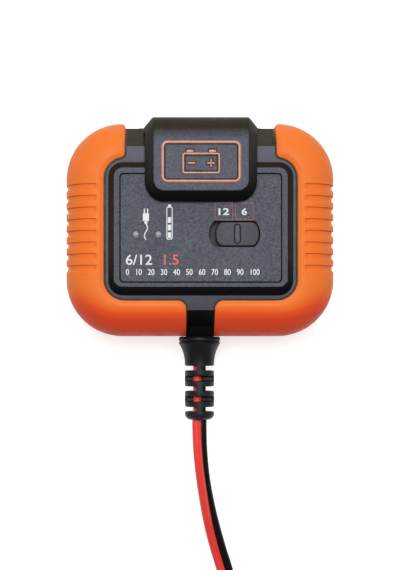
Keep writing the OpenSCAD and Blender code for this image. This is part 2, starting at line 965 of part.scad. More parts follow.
// Tube along a path: each ring is the outline turned about the path
module swept(path, outline, turns) {
    n = len(outline);
    last = len(path) - 1;
    rings = [
        for (i = [0 : last])
            let (
                t = tangent(path, i),
                side = unit(cross(t, [0, 0, 1])),
                up = cross(side, t),
                a = turns[i]
            )
            for (p = outline)
                path[i] + (p.x * cos(a) - p.y * sin(a)) * side
                    + (p.x * sin(a) + p.y * cos(a)) * up
    ];
    walls = [
        for (i = [0 : last - 1], j = [0 : n - 1])
            let (a = i * n + j, b = i * n + (j + 1) % n)
            each [[a, a + n, b], [b, a + n, b + n]]
    ];
    start = len(rings);
    caps = [
        for (j = [0 : n - 1])
            each [
                [start, j, (j + 1) % n],
                [start + 1, last * n + (j + 1) % n, last * n + j]
            ]
    ];
    polyhedron(concat(rings, [path[0], path[last]]), concat(walls, caps));
}

module dc_lead() {
    color("firebrick") swept(lead_route, pair_outline, lead_turn);
}

// Coil: in to the middle on the table, up a layer, and out again on top
coil_x = 18 - coil_r;
coil_y = -208;
coil_pitch = 7.6;
layer_z = 1.8;
layer_rise = 4;
coil_steps = 24;

function coil_in(t) =
    let (half = coil_turns / 2, off = abs(t - half))
    off > 0.25 ? half - off : half - 0.125 - 2 * off * off;
function coil_climb(t) =
    let (u = min(max(2 * (t - coil_turns / 2) + 0.5, 0), 1))
    u * u * (3 - 2 * u);
function coil_point(t) =
    let (r = coil_r - coil_pitch * coil_in(t))
    [coil_x + r * cos(360 * t), coil_y - r * sin(360 * t), layer_z + layer_rise * coil_climb(t)];

coil_count = round(coil_turns * coil_steps);
exit_top = coil_y + coil_r;
coil_path = concat(
    [
        [14.6, -158, layer_z], [16.3, -165, layer_z], [17.5, -173, layer_z],
        [18, -182, layer_z], [18, -192, layer_z], [18, -202, layer_z]
    ],
    [for (i = [1 : coil_count]) coil_point(i / coil_steps)],
    [
        [coil_x + 12, exit_top, 5.8], [coil_x + 24, exit_top, 5.8], [coil_x + 36, exit_top, 5.8],
        [coil_x + 46, exit_top, 5.8], [coil_x + 51, exit_top, 5.5], [coil_x + 56, exit_top, 4.8],
        [coil_x + 60, exit_top, 4.4]
    ]
);
coil_end = coil_path[len(coil_path) - 1];

// Gap between two stretches of the flat outline, the widest over its three facings
function pair_gap(a, b) =
    let (across = norm([a.x - b.x, a.y - b.y]), above = abs(a.z - b.z))
    max(across - lead_w, above - lead_d, (across + above - lead_w) / sqrt(2));
// Least gap from the coil to itself, on its own points
coil_gap = min([
    for (i = [0 : len(coil_path) - 1], j = [i + 8 : 1 : len(coil_path) - 1])
        if (norm(coil_path[i] - coil_path[j]) < 12) pair_gap(coil_path[i], coil_path[j])
]);

module dc_lead_coil() {
    echo("least gap of the coil to itself", coil_gap);
    color("firebrick") swept(coil_path, flat_outline, [for (p = coil_path) 0]);
}

// ---- quick connector ----

plug_l = 17;
plug_w = 16;
plug_t = 8.6;
nose_l = 11;
nose_d = 7;
contact_pitch = 8;
contact_d = 4;
contact_root_d = 3.4;

module at_plug() {
    translate(coil_end) children();
}

module connector_body() {
    color("#1b1b1d") at_plug() difference() {
        union() {
            rotate([0, 90, 0]) linear_extrude(plug_l) rounded(plug_t, plug_w, 3.4);
            translate([0, contact_pitch / 2, 0]) rod_x(nose_d, plug_l - 1, plug_l + nose_l);
        }
        translate([0, contact_pitch / 2, 0]) rod_x(5.3, plug_l - 4, plug_l + nose_l + 1);
        translate([0, -contact_pitch / 2, 0]) rod_x(contact_root_d + 0.04, plug_l - 5, plug_l + 1);
    }
}

module connector_contacts() {
    color("silver") at_plug() {
        translate([0, contact_pitch / 2, 0]) difference() {
            rod_x(5.26, plug_l - 4, plug_l + nose_l - 1);
            rod_x(contact_d + 0.04, plug_l - 3, plug_l + nose_l);
        }
        translate([0, -contact_pitch / 2, 0]) {
            rod_x(contact_root_d, plug_l - 5, plug_l + 1);
            rod_x(contact_d, plug_l, plug_l + nose_l - 2);
        }
    }
}

front_cover();
rear_cover();
bumper_left();
bumper_right();
face_panel();
hanging_hook();
hook_pin();
hook_badge();
switch_knob();
switch_body();
lens_power();
lens_charge();
led_power();
led_charge();
circuit_board();
board_screws();
case_screws();
inlet_socket();
inlet_pins();
mains_wires();
transformer_core();
transformer_bobbin();
transformer_winding();
input_capacitor();
output_capacitors();
filter_choke();
fuse();
bridge_rectifier();
safety_capacitor();
heat_sink();
switch_transistor();
output_diode();
control_chips();
strain_relief();
core_positive();
core_negative();
dc_lead();
dc_lead_coil();
connector_body();
connector_contacts();
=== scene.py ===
import json
import math

import bmesh
import bpy
import numpy as np
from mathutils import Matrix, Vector

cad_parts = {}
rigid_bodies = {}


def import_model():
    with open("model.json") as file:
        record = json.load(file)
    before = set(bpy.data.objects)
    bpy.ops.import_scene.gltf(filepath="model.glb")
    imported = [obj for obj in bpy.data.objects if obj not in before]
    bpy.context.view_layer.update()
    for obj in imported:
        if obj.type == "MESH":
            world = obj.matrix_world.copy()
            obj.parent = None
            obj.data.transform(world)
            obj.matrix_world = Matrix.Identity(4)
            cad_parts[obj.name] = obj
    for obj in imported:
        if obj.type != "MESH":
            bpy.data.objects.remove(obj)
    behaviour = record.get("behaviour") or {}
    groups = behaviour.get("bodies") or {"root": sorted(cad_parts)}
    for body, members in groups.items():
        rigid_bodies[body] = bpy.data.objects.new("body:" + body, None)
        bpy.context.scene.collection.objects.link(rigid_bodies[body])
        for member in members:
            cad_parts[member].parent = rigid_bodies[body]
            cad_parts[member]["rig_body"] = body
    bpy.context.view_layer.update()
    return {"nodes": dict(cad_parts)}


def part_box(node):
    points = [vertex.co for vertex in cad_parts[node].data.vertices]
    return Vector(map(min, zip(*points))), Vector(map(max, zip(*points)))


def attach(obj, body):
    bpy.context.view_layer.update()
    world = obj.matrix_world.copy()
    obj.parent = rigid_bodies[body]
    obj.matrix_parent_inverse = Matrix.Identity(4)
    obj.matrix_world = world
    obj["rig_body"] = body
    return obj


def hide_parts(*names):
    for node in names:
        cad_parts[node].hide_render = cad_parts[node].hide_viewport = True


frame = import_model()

# Looks of the automatic 6/12 V car battery charger. It lies on its back on the
# floor: +Z comes out of its front and +Y points to its hook. Sizes in this
# script are millimetres, and every mesh is made in metres by MM.
MM = 0.001


# ---- the charger's own sizes ----

BODY_W = 112.0
BODY_H = 89.0
CORNER_R = 23.5
FRONT_Z = 40.0
CREST_Z = 41.2
BACK_Z = 1.4
PANEL_Z = 41.2
RELIEF_Z = 21.0
EXIT_Y = -44.65
CORE_D = 3.5


# ---- meshes from grids of points ----

class Surface:
    """One mesh gathered from grids of points, two parameters each, in millimetres."""

    def __init__(self):
        self.points = []
        self.faces = []
        self.marks = []
        self.count = 0

    def _store(self, points):
        """Adds points, and gives the number of the first."""
        points = np.asarray(points, float).reshape(-1, 3)
        first = self.count
        self.points.append(points)
        self.count += len(points)
        return first

    def grid(self, points, wrap_u=False, wrap_v=False, mark=0):
        """Quads between neighbours of a (u, v) grid; a wrapped direction closes on itself."""
        nu, nv = points.shape[:2]
        index = self._store(points) + np.arange(nu * nv).reshape(nu, nv)
        if wrap_u:
            index = np.concatenate([index, index[:1]], 0)
        if wrap_v:
            index = np.concatenate([index, index[:, :1]], 1)
        quads = np.stack([index[:-1, :-1], index[1:, :-1], index[1:, 1:], index[:-1, 1:]], -1)
        marks = np.broadcast_to(np.asarray(mark), quads.shape[:2])
        self.faces += quads.reshape(-1, 4).tolist()
        self.marks += marks.reshape(-1).tolist()

    def cap(self, loop, mark=0):
        """One flat face over a closed loop of points."""
        first = self._store(loop)
        self.faces.append(list(range(first, self.count)))
        self.marks.append(mark)

    def tube(self, points, mark=0, ends=(0, 0)):
        """A (u, v) grid closed round v, with a flat face over each end."""
        self.grid(points, wrap_v=True, mark=mark)
        self.cap(points[0], ends[0])
        self.cap(points[-1], ends[1])

    def piece(self, name, *finishes, merge=0.002, sharp=38):
        """The object: its doubles nearer than merge joined, its faces turned outwards and its
        edges under sharp degrees smooth. A face's mark says which of the finishes it has."""
        mesh = bpy.data.meshes.new(name)
        mesh.from_pydata((np.concatenate(self.points) * MM).tolist(), [], self.faces)
        for finish_name in finishes:
            mesh.materials.append(FINISHES[finish_name])
        mesh.polygons.foreach_set("material_index", np.array(self.marks, np.int32))
        cleaned(mesh, merge, 0.0001, lambda work: bmesh.ops.recalc_face_normals(work, faces=work.faces))
        mesh.set_sharp_from_angle(angle=math.radians(sharp))
        mesh.update()
        return linked(name, mesh)


def joined(*rows):
    """Points whose coordinates are rows of numbers or single numbers, spread to one shape."""
    return np.stack(np.broadcast_arrays(*rows), -1).astype(float)


def stacked(loops, heights):
    """Grid of closed loops (n, 2), each at its own height."""
    return np.stack([joined(*loop.T, z) for loop, z in zip(loops, heights)])


def box_at(surface, x, y, z, mark=0):
    """A closed box between two limits on each axis."""
    loop = np.array([[x[0], y[0]], [x[1], y[0]], [x[1], y[1]], [x[0], y[1]]])
    surface.tube(stacked([loop, loop], z), mark, (mark, mark))


def linked(name, data):
    """A new object of a mesh, camera, light or text, in the scene."""
    made = bpy.data.objects.new(name, data)
    bpy.context.scene.collection.objects.link(made)
    return made


def cleaned(mesh, doubles, thin, then):
    """Joins a mesh's doubles and thin faces nearer than these millimetres, does what then says
    and shades every face smooth. Returns what then gives."""
    work = bmesh.new()
    work.from_mesh(mesh)
    bmesh.ops.remove_doubles(work, verts=work.verts, dist=doubles * MM)
    bmesh.ops.dissolve_degenerate(work, edges=work.edges, dist=thin * MM)
    given = then(work)
    work.to_mesh(mesh)
    work.free()
    mesh.polygons.foreach_set("use_smooth", np.ones(len(mesh.polygons), bool))
    return given


def reshaped(mesh, change):
    """Gives a mesh's points (n, 3) the places that change makes of them."""
    co = np.empty(len(mesh.vertices) * 3)
    mesh.vertices.foreach_get("co", co)
    mesh.vertices.foreach_set("co", change(co.reshape(-1, 3)).reshape(-1))


def stands_for(piece, body, slot, *nodes):
    """The piece rides on a body and shows instead of CAD nodes. slot is not used."""
    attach(piece, body)
    if nodes:
        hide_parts(*nodes)
    return piece


def arc(cx, cy, r, a0, a1, n):
    """n points (n, 2) on a circle's arc from a0 to a1 degrees."""
    a = np.radians(np.linspace(a0, a1, n))
    return joined(cx + r * np.cos(a), cy + r * np.sin(a))


def rounded_loop(x, y, w, h, rx, ry, steps=12):
    """Closed loop round a rectangle about (x, y) whose corners are quarter ellipses."""
    a = np.radians(np.linspace(0, 90, steps))
    corner = joined(w / 2 - rx + rx * np.cos(a), h / 2 - ry + ry * np.sin(a))
    top = np.concatenate([corner, corner[::-1] * [-1, 1]])
    return np.concatenate([top, -top]) + [x, y]


def smoothstep(t):
    """Eases from 0 to 1: 3t^2 - 2t^3, flat outside."""
    t = np.clip(t, 0, 1)
    return t * t * (3 - 2 * t)


def unit(v):
    """Vectors along the last axis at length 1."""
    return v / np.linalg.norm(v, axis=-1, keepdims=True)


def leftwards(line):
    """Unit vectors (n, 2) at right angles to a line's run, to its left."""
    along = unit(np.gradient(line, axis=0))
    return joined(-along[:, 1], along[:, 0])


def smooth_path(knots, per_span):
    """Catmull-Rom curve: between knots 1 and 2 it is half of 2*k1 + (k2-k0)t
    + (2k0-5k1+4k2-k3)t^2 + (3k1-k0-3k2+k3)t^3. Returns points (n, dims)."""
    k = np.asarray(knots, float)
    k = np.concatenate([[2 * k[0] - k[1]], k, [2 * k[-1] - k[-2]]])
    k0, k1, k2, k3 = (k[i:len(k) - 3 + i][:, None] for i in range(4))
    t = np.linspace(0, 1, per_span, endpoint=False)[None, :, None]
    curve = 0.5 * (
        2 * k1 + (k2 - k0) * t + (2 * k0 - 5 * k1 + 4 * k2 - k3) * t ** 2
        + (3 * k1 - k0 - 3 * k2 + k3) * t ** 3
    )
    return np.concatenate([curve.reshape(-1, k.shape[1]), k[-2:-1]])


def swept(path, outline, turn):
    """Grid of an outline (m, 2) carried along a path (n, 3), turned by turn degrees:
    its first axis lies across the path on the floor's plane, its second stands up."""
    along = unit(np.gradient(path, axis=0))
    side = unit(np.cross(along, [0.0, 0.0, 1.0]))
    up = np.cross(side, along)
    a = np.radians(turn)[:, None]
    x = outline[None, :, 0] * np.cos(a) - outline[None, :, 1] * np.sin(a)
    y = outline[None, :, 0] * np.sin(a) + outline[None, :, 1] * np.cos(a)
    return path[:, None] + x[..., None] * side[:, None] + y[..., None] * up[:, None]


# ---- camera ----

# The camera looks straight down. Its axis lies left of and below the frame's middle, by
# these numbers of pixels in a frame of this height.
AXIS_X, AXIS_Y, CAMERA_Z = -18.0, -46.1, 700.0
LENS = 101.2
AXIS_LEFT, AXIS_BELOW, FRAME_H = 43.0, 55.0, 570

camera_data = bpy.data.cameras.new("camera")
camera_data.lens = LENS
camera_data.shift_x = AXIS_LEFT / FRAME_H
camera_data.shift_y = AXIS_BELOW / FRAME_H
camera = linked("camera", camera_data)
camera.location = (AXIS_X * MM, AXIS_Y * MM, CAMERA_Z * MM)
bpy.context.scene.camera = camera


# ---- lead: its route on the floor, its coil and the coil's tie ----

# Points of the lead's middle line from the relief to the coil, its turn about itself there
# in degrees, and the height of its last run at distances from the coil's middle
LEAD_ROUTE = [
    [0, -79.8, 21], [0, -84, 21], [0.3, -92, 20.6], [1.1, -101, 19.2],
    [2.4, -110, 16.4], [4.1, -119, 12.5], [6.2, -128, 8.2], [8.7, -137, 4.6],
    [10.9, -144, 2.7], [12.9, -151, 1.8], [14.6, -158, 1.8], [16.3, -165, 1.8],
    [17.5, -173, 1.8], [18, -182, 1.8], [18, -192, 1.8], [18, -202, 1.8],
]
LEAD_TURN = [40, 40, 42, 44, 42, 32, 18, 7, 1, 0, 0, 0, 0, 0, 0, 0]
COIL_X, COIL_Y, COIL_R = -31.0, -208.0, 49.0
COIL_PITCH = 7.6
COIL_TURNS = 6.75
COIL_STEPS = 24
LAYER_Z, LAYER_RISE = 1.8, 4.0
LOBE, WAIST = 145, 0.6
LAST_RUN = [[12, 5.8], [24, 5.8], [36, 5.8], [46, 5.8], [51, 5.5], [56, 4.8], [60, 4.4]]


def coil_path():
    """Coil in two layers: at turn t the radius is COIL_R less the pitch times the turns
    wound in, out to the middle and back, and the height eases up a layer half-way."""
    t = np.arange(1, round(COIL_TURNS * COIL_STEPS) + 1) / COIL_STEPS
    half = COIL_TURNS / 2
    off = np.abs(t - half)
    wound_in = np.where(off > 0.25, half - off, half - 0.125 - 2 * off ** 2)
    r = COIL_R - COIL_PITCH * wound_in
    z = LAYER_Z + LAYER_RISE * smoothstep(2 * (t - half) + 0.5)
    turn = 2 * np.pi * t
    return joined(COIL_X + r * np.cos(turn), COIL_Y - r * np.sin(turn), z)


def lead_path():
    """The lead's middle line from the strain relief to the connector, and its turn in degrees."""
    run = [[COIL_X + x, COIL_Y + COIL_R, z] for x, z in LAST_RUN]
    knots = np.concatenate([LEAD_ROUTE, coil_path(), run])
    turn = np.zeros(len(knots))
    turn[:len(LEAD_TURN)] = LEAD_TURN
    smooth = smooth_path(np.concatenate([knots, turn[:, None]], 1), 5)
    return smooth[:, :3], smooth[:, 3]


def pair_outline():
    """Outline of the bonded pair: two lobes a core across, LOBE degrees each way round,
    which meet at a waist. The first half is the positive core."""
    r = CORE_D / 2
    half = np.concatenate([arc(r, 0, r, -LOBE, LOBE, 15), [[0.0, r * WAIST]]])
    return np.concatenate([half, -half])


def lead():
    """Bonded pair carried along the route, its two cores in two colours."""
    path, turn = lead_path()
    outline = pair_outline()
    half = len(outline) // 2
    colour = np.where(np.arange(len(outline)) < half - 1, 0, 1)
    colour[-1] = 0
    surface = Surface()
    surface.tube(swept(path, outline, turn), colour[None], (1, 1))
    piece = surface.piece("output_lead", "lead_red", "lead_black")
    length = np.linalg.norm(np.diff(path, axis=0), axis=1).sum()
    return piece, path, length


TIE_X, TIE_W = -66.8, 9.0
# Inside and outside of the tie's section: height of its middle, its size and its corner
TIE_INNER = [3.815, 29.9, 7.57, 1.8, 1.8]
TIE_OUTER = [4.2, 31.3, 8.4, 2.4, 2.4]


def coil_tie():
    """Flat band round the coil's turns: an inner and an outer loop carried across TIE_W."""
    loops = np.stack([rounded_loop(TIE_X, *size, 8) for size in (TIE_INNER, TIE_OUTER)])
    section = loops[[0, 1, 1, 1, 1, 0]].transpose(1, 0, 2)
    across = np.array([0.5, 0.5, 0.46, -0.46, -0.5, -0.5]) * TIE_W
    surface = Surface()
    surface.grid(joined(section[..., 0], COIL_Y + across, section[..., 1]), wrap_u=True, wrap_v=True)
    piece = surface.piece("coil_tie", "black_rubber", sharp=50)
    return stands_for(piece, "housing", "black_rubber")


# ---- bumpers ----

WINDOW_X, WINDOW_Y, WINDOW_LOW, WINDOW_R = 39.9, 29.1, 29.8, 8.6
TOP_GAP_X = 31.2
BOTTOM_GAP_X = 5.9
END_CUT = 1.3
FRONT_R, BACK_R = 14.0, 12.0
EDGE_R = 0.5
INNER_RUN, INNER_DROP = 2.0, 0.7
FOOT_CUT = 0.5
TOP_ROUND_R, BOTTOM_ROUND_R = 2.1, 3.5

# Grip grooves: place, number and size, and over how far each drops, eases back and ends
GROOVE_Y, GROOVE_PITCH, GROOVE_N = 18.4, 4.8, 8
GROOVE_W, GROOVE_DEPTH = 2.6, 0.75
GROOVE_X = 42.6
GROOVE_FALL, GROOVE_EASE, GROOVE_FADE = 0.16, 0.9, 1.5
SIDE_END = 19.3

# Where the grids have their lines: at a bumper's ends, in a groove, at the lower fillet,
# behind the rounded edge, at which heights of the side, and round the front in degrees
END_STEPS = np.array([0, 0.05, 0.17, 0.36, 0.62, 0.9])
GROOVE_STEPS = np.array([-0.02, 0.0, GROOVE_FALL, 0.5, 1.1, 1.7, 1.95, 2.2, 2.4, GROOVE_W, 3.8])
FILLET_STEPS = np.array([0.6, 1.2, 1.8, 2.25])
FACE_STEPS = np.array([0.9, 1.3, 1.6, 1.85, 2.1])
FLANK_Z = np.array([CREST_Z - FRONT_R - 6, BACK_R + 0.1])
FRONT_ANGLES = [90, 88, 86.6, 85.9, 85.4, 84.6, 82, 78, *range(73, 6, -6), 0]

# Section of the black strip of painted shadow in the gap: how far inwards of the bumper's edge, and how
# far above the housing
GAP_SHADOW_OFFSET = np.array([-0.15, -0.15, 0.66, 0.7])
GAP_SHADOW_LIFT = np.array([-0.3, 0.07, 0.07, -0.1])

# The housing under the bumpers: the slope of its front, its side and its upper limit
RIM_INSET, SLOPE_DROP = 9.3, 16.0
SIDE_LOW, SIDE_HIGH = 14.0, 24.0
SKIN_T = 1.4
SHELL_Y = BODY_H / 2 - SKIN_T


def inset_from_outline(x, y):
    """Distance inwards from the body's outline, a rectangle with round corners."""
    qx = np.abs(x) - (BODY_W / 2 - CORNER_R)
    qy = np.abs(y) - (BODY_H / 2 - CORNER_R)
    corner = np.hypot(np.maximum(qx, 0), np.maximum(qy, 0))
    return CORNER_R - corner - np.minimum(np.maximum(qx, qy), 0)


def front_height(inset):
    """Front of a bumper: flat, then a quarter round of FRONT_R down to the side."""
    run = np.clip(FRONT_R - inset, 0, FRONT_R)
    return CREST_Z - FRONT_R + np.sqrt(FRONT_R ** 2 - run ** 2)


def groove_depth(x, y):
    """Grip grooves: each drops at its upper edge, runs level and eases back at its lower edge."""
    below = GROOVE_Y - y
    within = np.mod(below, GROOVE_PITCH)
    step = np.clip(within / GROOVE_FALL, 0, 1) * smoothstep((GROOVE_W - within) / GROOVE_EASE)
    sides = smoothstep((x - GROOVE_X) / GROOVE_FADE)
    banded = (below > -1e-6) & (below < GROOVE_PITCH * GROOVE_N)
    return np.where(banded, GROOVE_DEPTH * step * sides, 0.0)


def bumper_rings():
    """Pairs of points, on the window's edge and on the body's outline, that each ring of a
    bumper runs between, from its upper end round the side to its lower end."""
    fx, fy = WINDOW_X - WINDOW_R, WINDOW_Y - WINDOW_R
    ox, oy = BODY_W / 2 - CORNER_R, BODY_H / 2 - CORNER_R
    round_x = TOP_GAP_X + TOP_ROUND_R
    round_y = fy + math.sqrt((WINDOW_R + TOP_ROUND_R) ** 2 - (round_x - fx) ** 2)
    meet = math.degrees(math.atan2(round_y - fy, round_x - fx))
    top = TOP_GAP_X + END_STEPS
    top_in = round_y - np.sqrt(np.maximum(TOP_ROUND_R ** 2 - (round_x - top) ** 2, 0))
    upper_in = np.concatenate([
        arc(round_x, round_y, TOP_ROUND_R, 235, 180 + meet, 4),
        arc(fx, fy, WINDOW_R, meet, 0, 30)[1:],
    ])
    upper_out = arc(ox, oy, CORNER_R, 90, 0, len(upper_in))
    side = (GROOVE_Y - np.arange(GROOVE_N)[:, None] * GROOVE_PITCH - GROOVE_STEPS).reshape(-1)
    side = np.unique(np.concatenate([[SIDE_END], side, [-SIDE_END]]))[::-1]
    lower_in = arc(fx, WINDOW_R - WINDOW_LOW, WINDOW_R, 0, -90, 30)
    lower_out = arc(ox, -oy, CORNER_R, 0, -90, 30)
    fillet_x, fillet_y = BOTTOM_GAP_X + BOTTOM_ROUND_R, -WINDOW_LOW - BOTTOM_ROUND_R
    bottom = np.linspace(fx - 2, fillet_x, 10)
    last = np.concatenate([fillet_x - FILLET_STEPS, BOTTOM_GAP_X + END_STEPS[::-1]])
    last_in = fillet_y + np.sqrt(np.maximum(BOTTOM_ROUND_R ** 2 - (fillet_x - last) ** 2, 0))
    inner = np.concatenate([
        joined(top, top_in), upper_in, joined(WINDOW_X, side), lower_in,
        joined(bottom, -WINDOW_LOW), joined(last, last_in),
    ])
    outer = np.concatenate([
        joined(top, BODY_H / 2), upper_out, joined(BODY_W / 2, side), lower_out,
        joined(bottom, -BODY_H / 2), joined(last, -BODY_H / 2),
    ])
    return inner, outer


def distance_to(places, outline):
    """Least distance from places (n, 2) to a polyline (m, 2), over its closest stretches."""
    start, run = outline[:-1], np.diff(outline, axis=0)
    t = ((places[:, None] - start) * run).sum(-1) / (run ** 2).sum(-1)
    near = start + np.clip(t, 0, 1)[..., None] * run
    return np.linalg.norm(places[:, None] - near, axis=-1).min(1)


def bumper(name, side):
    """A ring's outline runs up the window's wall, over a rounded edge, across the front and
    down its quarter round, the side and the back, and closes on the housing."""
    inner, outer = bumper_rings()
    across = np.linalg.norm(outer - inner, axis=-1, keepdims=True)
    e = (outer - inner) / across
    edge = np.concatenate([[[TOP_GAP_X, BODY_H / 2]], inner, [[BOTTOM_GAP_X, -BODY_H / 2]]])
    theta = np.radians(FRONT_ANGLES)
    back_theta = theta[::-2]
    rounding = EDGE_R * (1 - np.cos(np.radians([0, 25, 45, 62, 77, 90])))
    start = np.concatenate([rounding, FACE_STEPS])
    n = len(inner)

    def placed(d, z):
        """Points of each ring at distances d from the window's edge, at heights z."""
        d = np.broadcast_to(d, (n, d.shape[-1]))
        xy = inner[:, None] + e[:, None] * d[..., None]
        return np.concatenate([xy, np.broadcast_to(z, d.shape)[..., None]], -1)

    quarter = np.maximum(across - FRONT_R * (1 - np.cos(theta)), start[-1])
    top = placed(np.concatenate([np.tile(start, (n, 1)), quarter], 1), 0.0)
    near = distance_to(top[..., :2].reshape(-1, 2), edge).reshape(top.shape[:2])
    drop = EDGE_R - np.sqrt(EDGE_R ** 2 - np.clip(EDGE_R - near, 0, EDGE_R) ** 2)
    drop += INNER_DROP * np.clip(1 - near / INNER_RUN, 0, 1)
    top[..., 2] = front_height(inset_from_outline(top[..., 0], top[..., 1])) - drop
    flank = placed(np.tile(across, 2), FLANK_Z)
    under = placed(across - BACK_R * (1 - np.cos(back_theta)), BACK_R * (1 - np.sin(back_theta)))
    wall = placed(np.zeros((n, 1)), FRONT_Z)
    foot = placed(np.array([FOOT_CUT, 0.0, 0.0]), np.array([0.0, FOOT_CUT, BACK_Z]))
    sunk = SKIN_T + np.array([RIM_INSET, 0, 0, RIM_INSET])
    hidden = placed(across - sunk, np.array([BACK_Z, SIDE_LOW, SIDE_HIGH, FRONT_Z]))

    outside = np.concatenate([top, flank, under], 1)
    rise = np.concatenate([np.ones(len(start)), np.sin(theta), [0, 0], -np.sin(back_theta)])[:, None]
    normal = np.concatenate([
        e[:, None] * np.sqrt(1 - rise ** 2), np.broadcast_to(rise, (n,) + rise.shape),
    ], -1)
    outside -= normal * groove_depth(outside[..., 0], outside[..., 1])[..., None]
    ring = np.concatenate([wall, outside, foot, hidden], 1)
    past = ring[..., 1] - ring[..., 0] - (BODY_H / 2 - TOP_GAP_X - END_CUT)
    ring[..., 1] -= np.maximum(past, 0)
    ring[..., 0] *= side
    surface = Surface()
    surface.tube(ring)
    piece = surface.piece("bumper_skin_" + name, "orange_rubber", sharp=50)
    return stands_for(piece, "housing", "orange_rubber", "bumper_" + name)


def shell_front(x, y):
    """Height of the housing's front: flat, then the slope down to its side."""
    inset = inset_from_outline(x, y) - SKIN_T
    return FRONT_Z - SLOPE_DROP * np.clip(1 - inset / RIM_INSET, 0, 1)


def seam(name, side):
    """Painted shadow where a bumper meets the housing: a black strip along the bumper's inner
    edge and ends, that follows the housing's front."""
    inner = bumper_rings()[0]
    edge = np.concatenate([[[TOP_GAP_X, SHELL_Y]], inner, [[BOTTOM_GAP_X, -SHELL_Y]]])
    run = np.concatenate([[0], np.cumsum(np.linalg.norm(np.diff(edge, axis=0), axis=1))])
    s = np.linspace(0, run[-1], 460)
    path = joined(*(np.interp(s, run, row) for row in edge.T))
    xy = path[:, None] - leftwards(path)[:, None] * GAP_SHADOW_OFFSET[:, None]
    strip = np.concatenate([xy, (shell_front(xy[..., 0], xy[..., 1]) + GAP_SHADOW_LIFT)[..., None]], -1)
    strip[..., 0] *= side
    surface = Surface()
    surface.tube(strip)
    piece = surface.piece("bumper_gap_shadow_" + name, "black_rubber", sharp=30)
    return stands_for(piece, "housing", "black_rubber")


# ---- shader node groups and finishes ----

PATCHES = 55.0


def group(name, label, value, outputs):
    """A new shader node group with one input: its tree, the object's own coordinates, what the
    input gives, and the node that takes the outputs."""
    tree = bpy.data.node_groups.new(name, "ShaderNodeTree")
    taken = tree.interface.new_socket(label, in_out="INPUT", socket_type="NodeSocketFloat")
    taken.default_value = value
    for out in outputs:
        tree.interface.new_socket(out, in_out="OUTPUT", socket_type="NodeSocketFloat")
    where = tree.nodes.new("ShaderNodeTexCoord").outputs["Object"]
    return tree, where, tree.nodes.new("NodeGroupInput").outputs[0], tree.nodes.new("NodeGroupOutput")


def feed(tree, made, **values):
    """Gives a shader node's inputs their values or links. An input is named, or given by its
    place as in0, in1 and so on."""
    for key, value in values.items():
        socket = made.inputs[int(key[2:]) if key.startswith("in") else key.replace("_", " ")]
        if isinstance(value, bpy.types.NodeSocket):
            tree.links.new(value, socket)
        else:
            socket.default_value = value
    return made


def node(tree, kind, settings=None, **values):
    """A new shader node with its settings and what feeds its inputs."""
    made = tree.nodes.new("ShaderNode" + kind)
    for key, value in (settings or {}).items():
        setattr(made, key, value)
    return feed(tree, made, **values)


def noise(tree, where, scale, detail, roughness=0.5):
    """Noise of about 0 to 1 whose lumps repeat scale times a metre."""
    made = node(tree, "TexNoise", Vector=where, Scale=scale, Detail=detail, Roughness=roughness)
    return made.outputs["Fac"]


def spread(tree, value, low, high, out_low=0.0, out_high=1.0):
    """Stretches low..high to out_low..out_high, clamped."""
    made = node(tree, "MapRange", in0=value, in1=low, in2=high, in3=out_low, in4=out_high)
    return made.outputs["Result"]


def mixed(tree, factor, a, b):
    """Colour a where factor is 0, and b where it is 1."""
    return node(tree, "Mix", {"data_type": "RGBA"}, in0=factor, in6=a, in7=b).outputs[2]


def maths(tree, operation, a, b=0.0):
    """One Math node's result."""
    return node(tree, "Math", {"operation": operation}, in0=a, in1=b).outputs[0]


def grain_group():
    """Etched mould grain: pits of two sizes as Height, and lighter and darker flecks as Fleck."""
    tree, where, pits, given = group("moulded grain", "Pits per metre", 2500.0, ("Height", "Fleck"))
    fine = noise(tree, where, pits, 3.0, 0.6)
    broad = noise(tree, where, maths(tree, "MULTIPLY", pits, 0.5), 1.0)
    height = maths(tree, "ADD", fine, maths(tree, "MULTIPLY", broad, 0.6))
    feed(tree, given, Height=height, Fleck=spread(tree, broad, 0.3, 0.7))
    return tree


def handling_group():
    """Slow changes over a used surface: Tone for its colour, Rub for where it is rubbed smoother."""
    tree, where, patches, given = group("handling", "Patches per metre", PATCHES, ("Tone", "Rub"))
    slow = noise(tree, where, patches, 3.0, 0.55)
    streak = noise(tree, where, maths(tree, "MULTIPLY", patches, 4.3), 4.0, 0.6)
    feed(tree, given, Tone=spread(tree, slow, 0.32, 0.68), Rub=spread(tree, streak, 0.35, 0.7))
    return tree


GRAIN = grain_group()
HANDLING = handling_group()


def shade(colour, factor):
    """A colour made lighter or darker, with full alpha."""
    return tuple(min(c * factor, 1.0) for c in colour) + (1.0,)


def new_material(name):
    """A material, its node tree and its shader."""
    material = bpy.data.materials.new(name)
    material.use_nodes = True
    return material, material.node_tree, material.node_tree.nodes["Principled BSDF"]


def finish(name, colour, rough, pits, relief, flecks, specular=0.5, tone=0.06, metallic=0.0):
    """A moulded or plain surface: colour with flecks and slow tone, roughness between two
    values, and a grain of pits a metre that is relief millimetres deep."""
    material, tree, shader = new_material(name)
    grain = node(tree, "Group", {"node_tree": GRAIN}, Pits_per_metre=pits).outputs
    handling = node(tree, "Group", {"node_tree": HANDLING}, Patches_per_metre=PATCHES).outputs
    flecked = mixed(tree, grain["Fleck"], shade(colour, 1 - flecks), shade(colour, 1 + flecks))
    toned = mixed(tree, handling["Tone"], shade(colour, 1 - tone), shade(colour, 1 + tone))
    roughness = spread(tree, handling["Rub"], 0.0, 1.0, rough[1], rough[0])
    bump = node(tree, "Bump", Strength=1.0, Distance=relief * MM, Height=grain["Height"])
    feed(
        tree, shader, Base_Color=mixed(tree, 0.5, flecked, toned), Roughness=roughness,
        Normal=bump.outputs["Normal"], Specular_IOR_Level=specular, Metallic=metallic,
    )
    return material


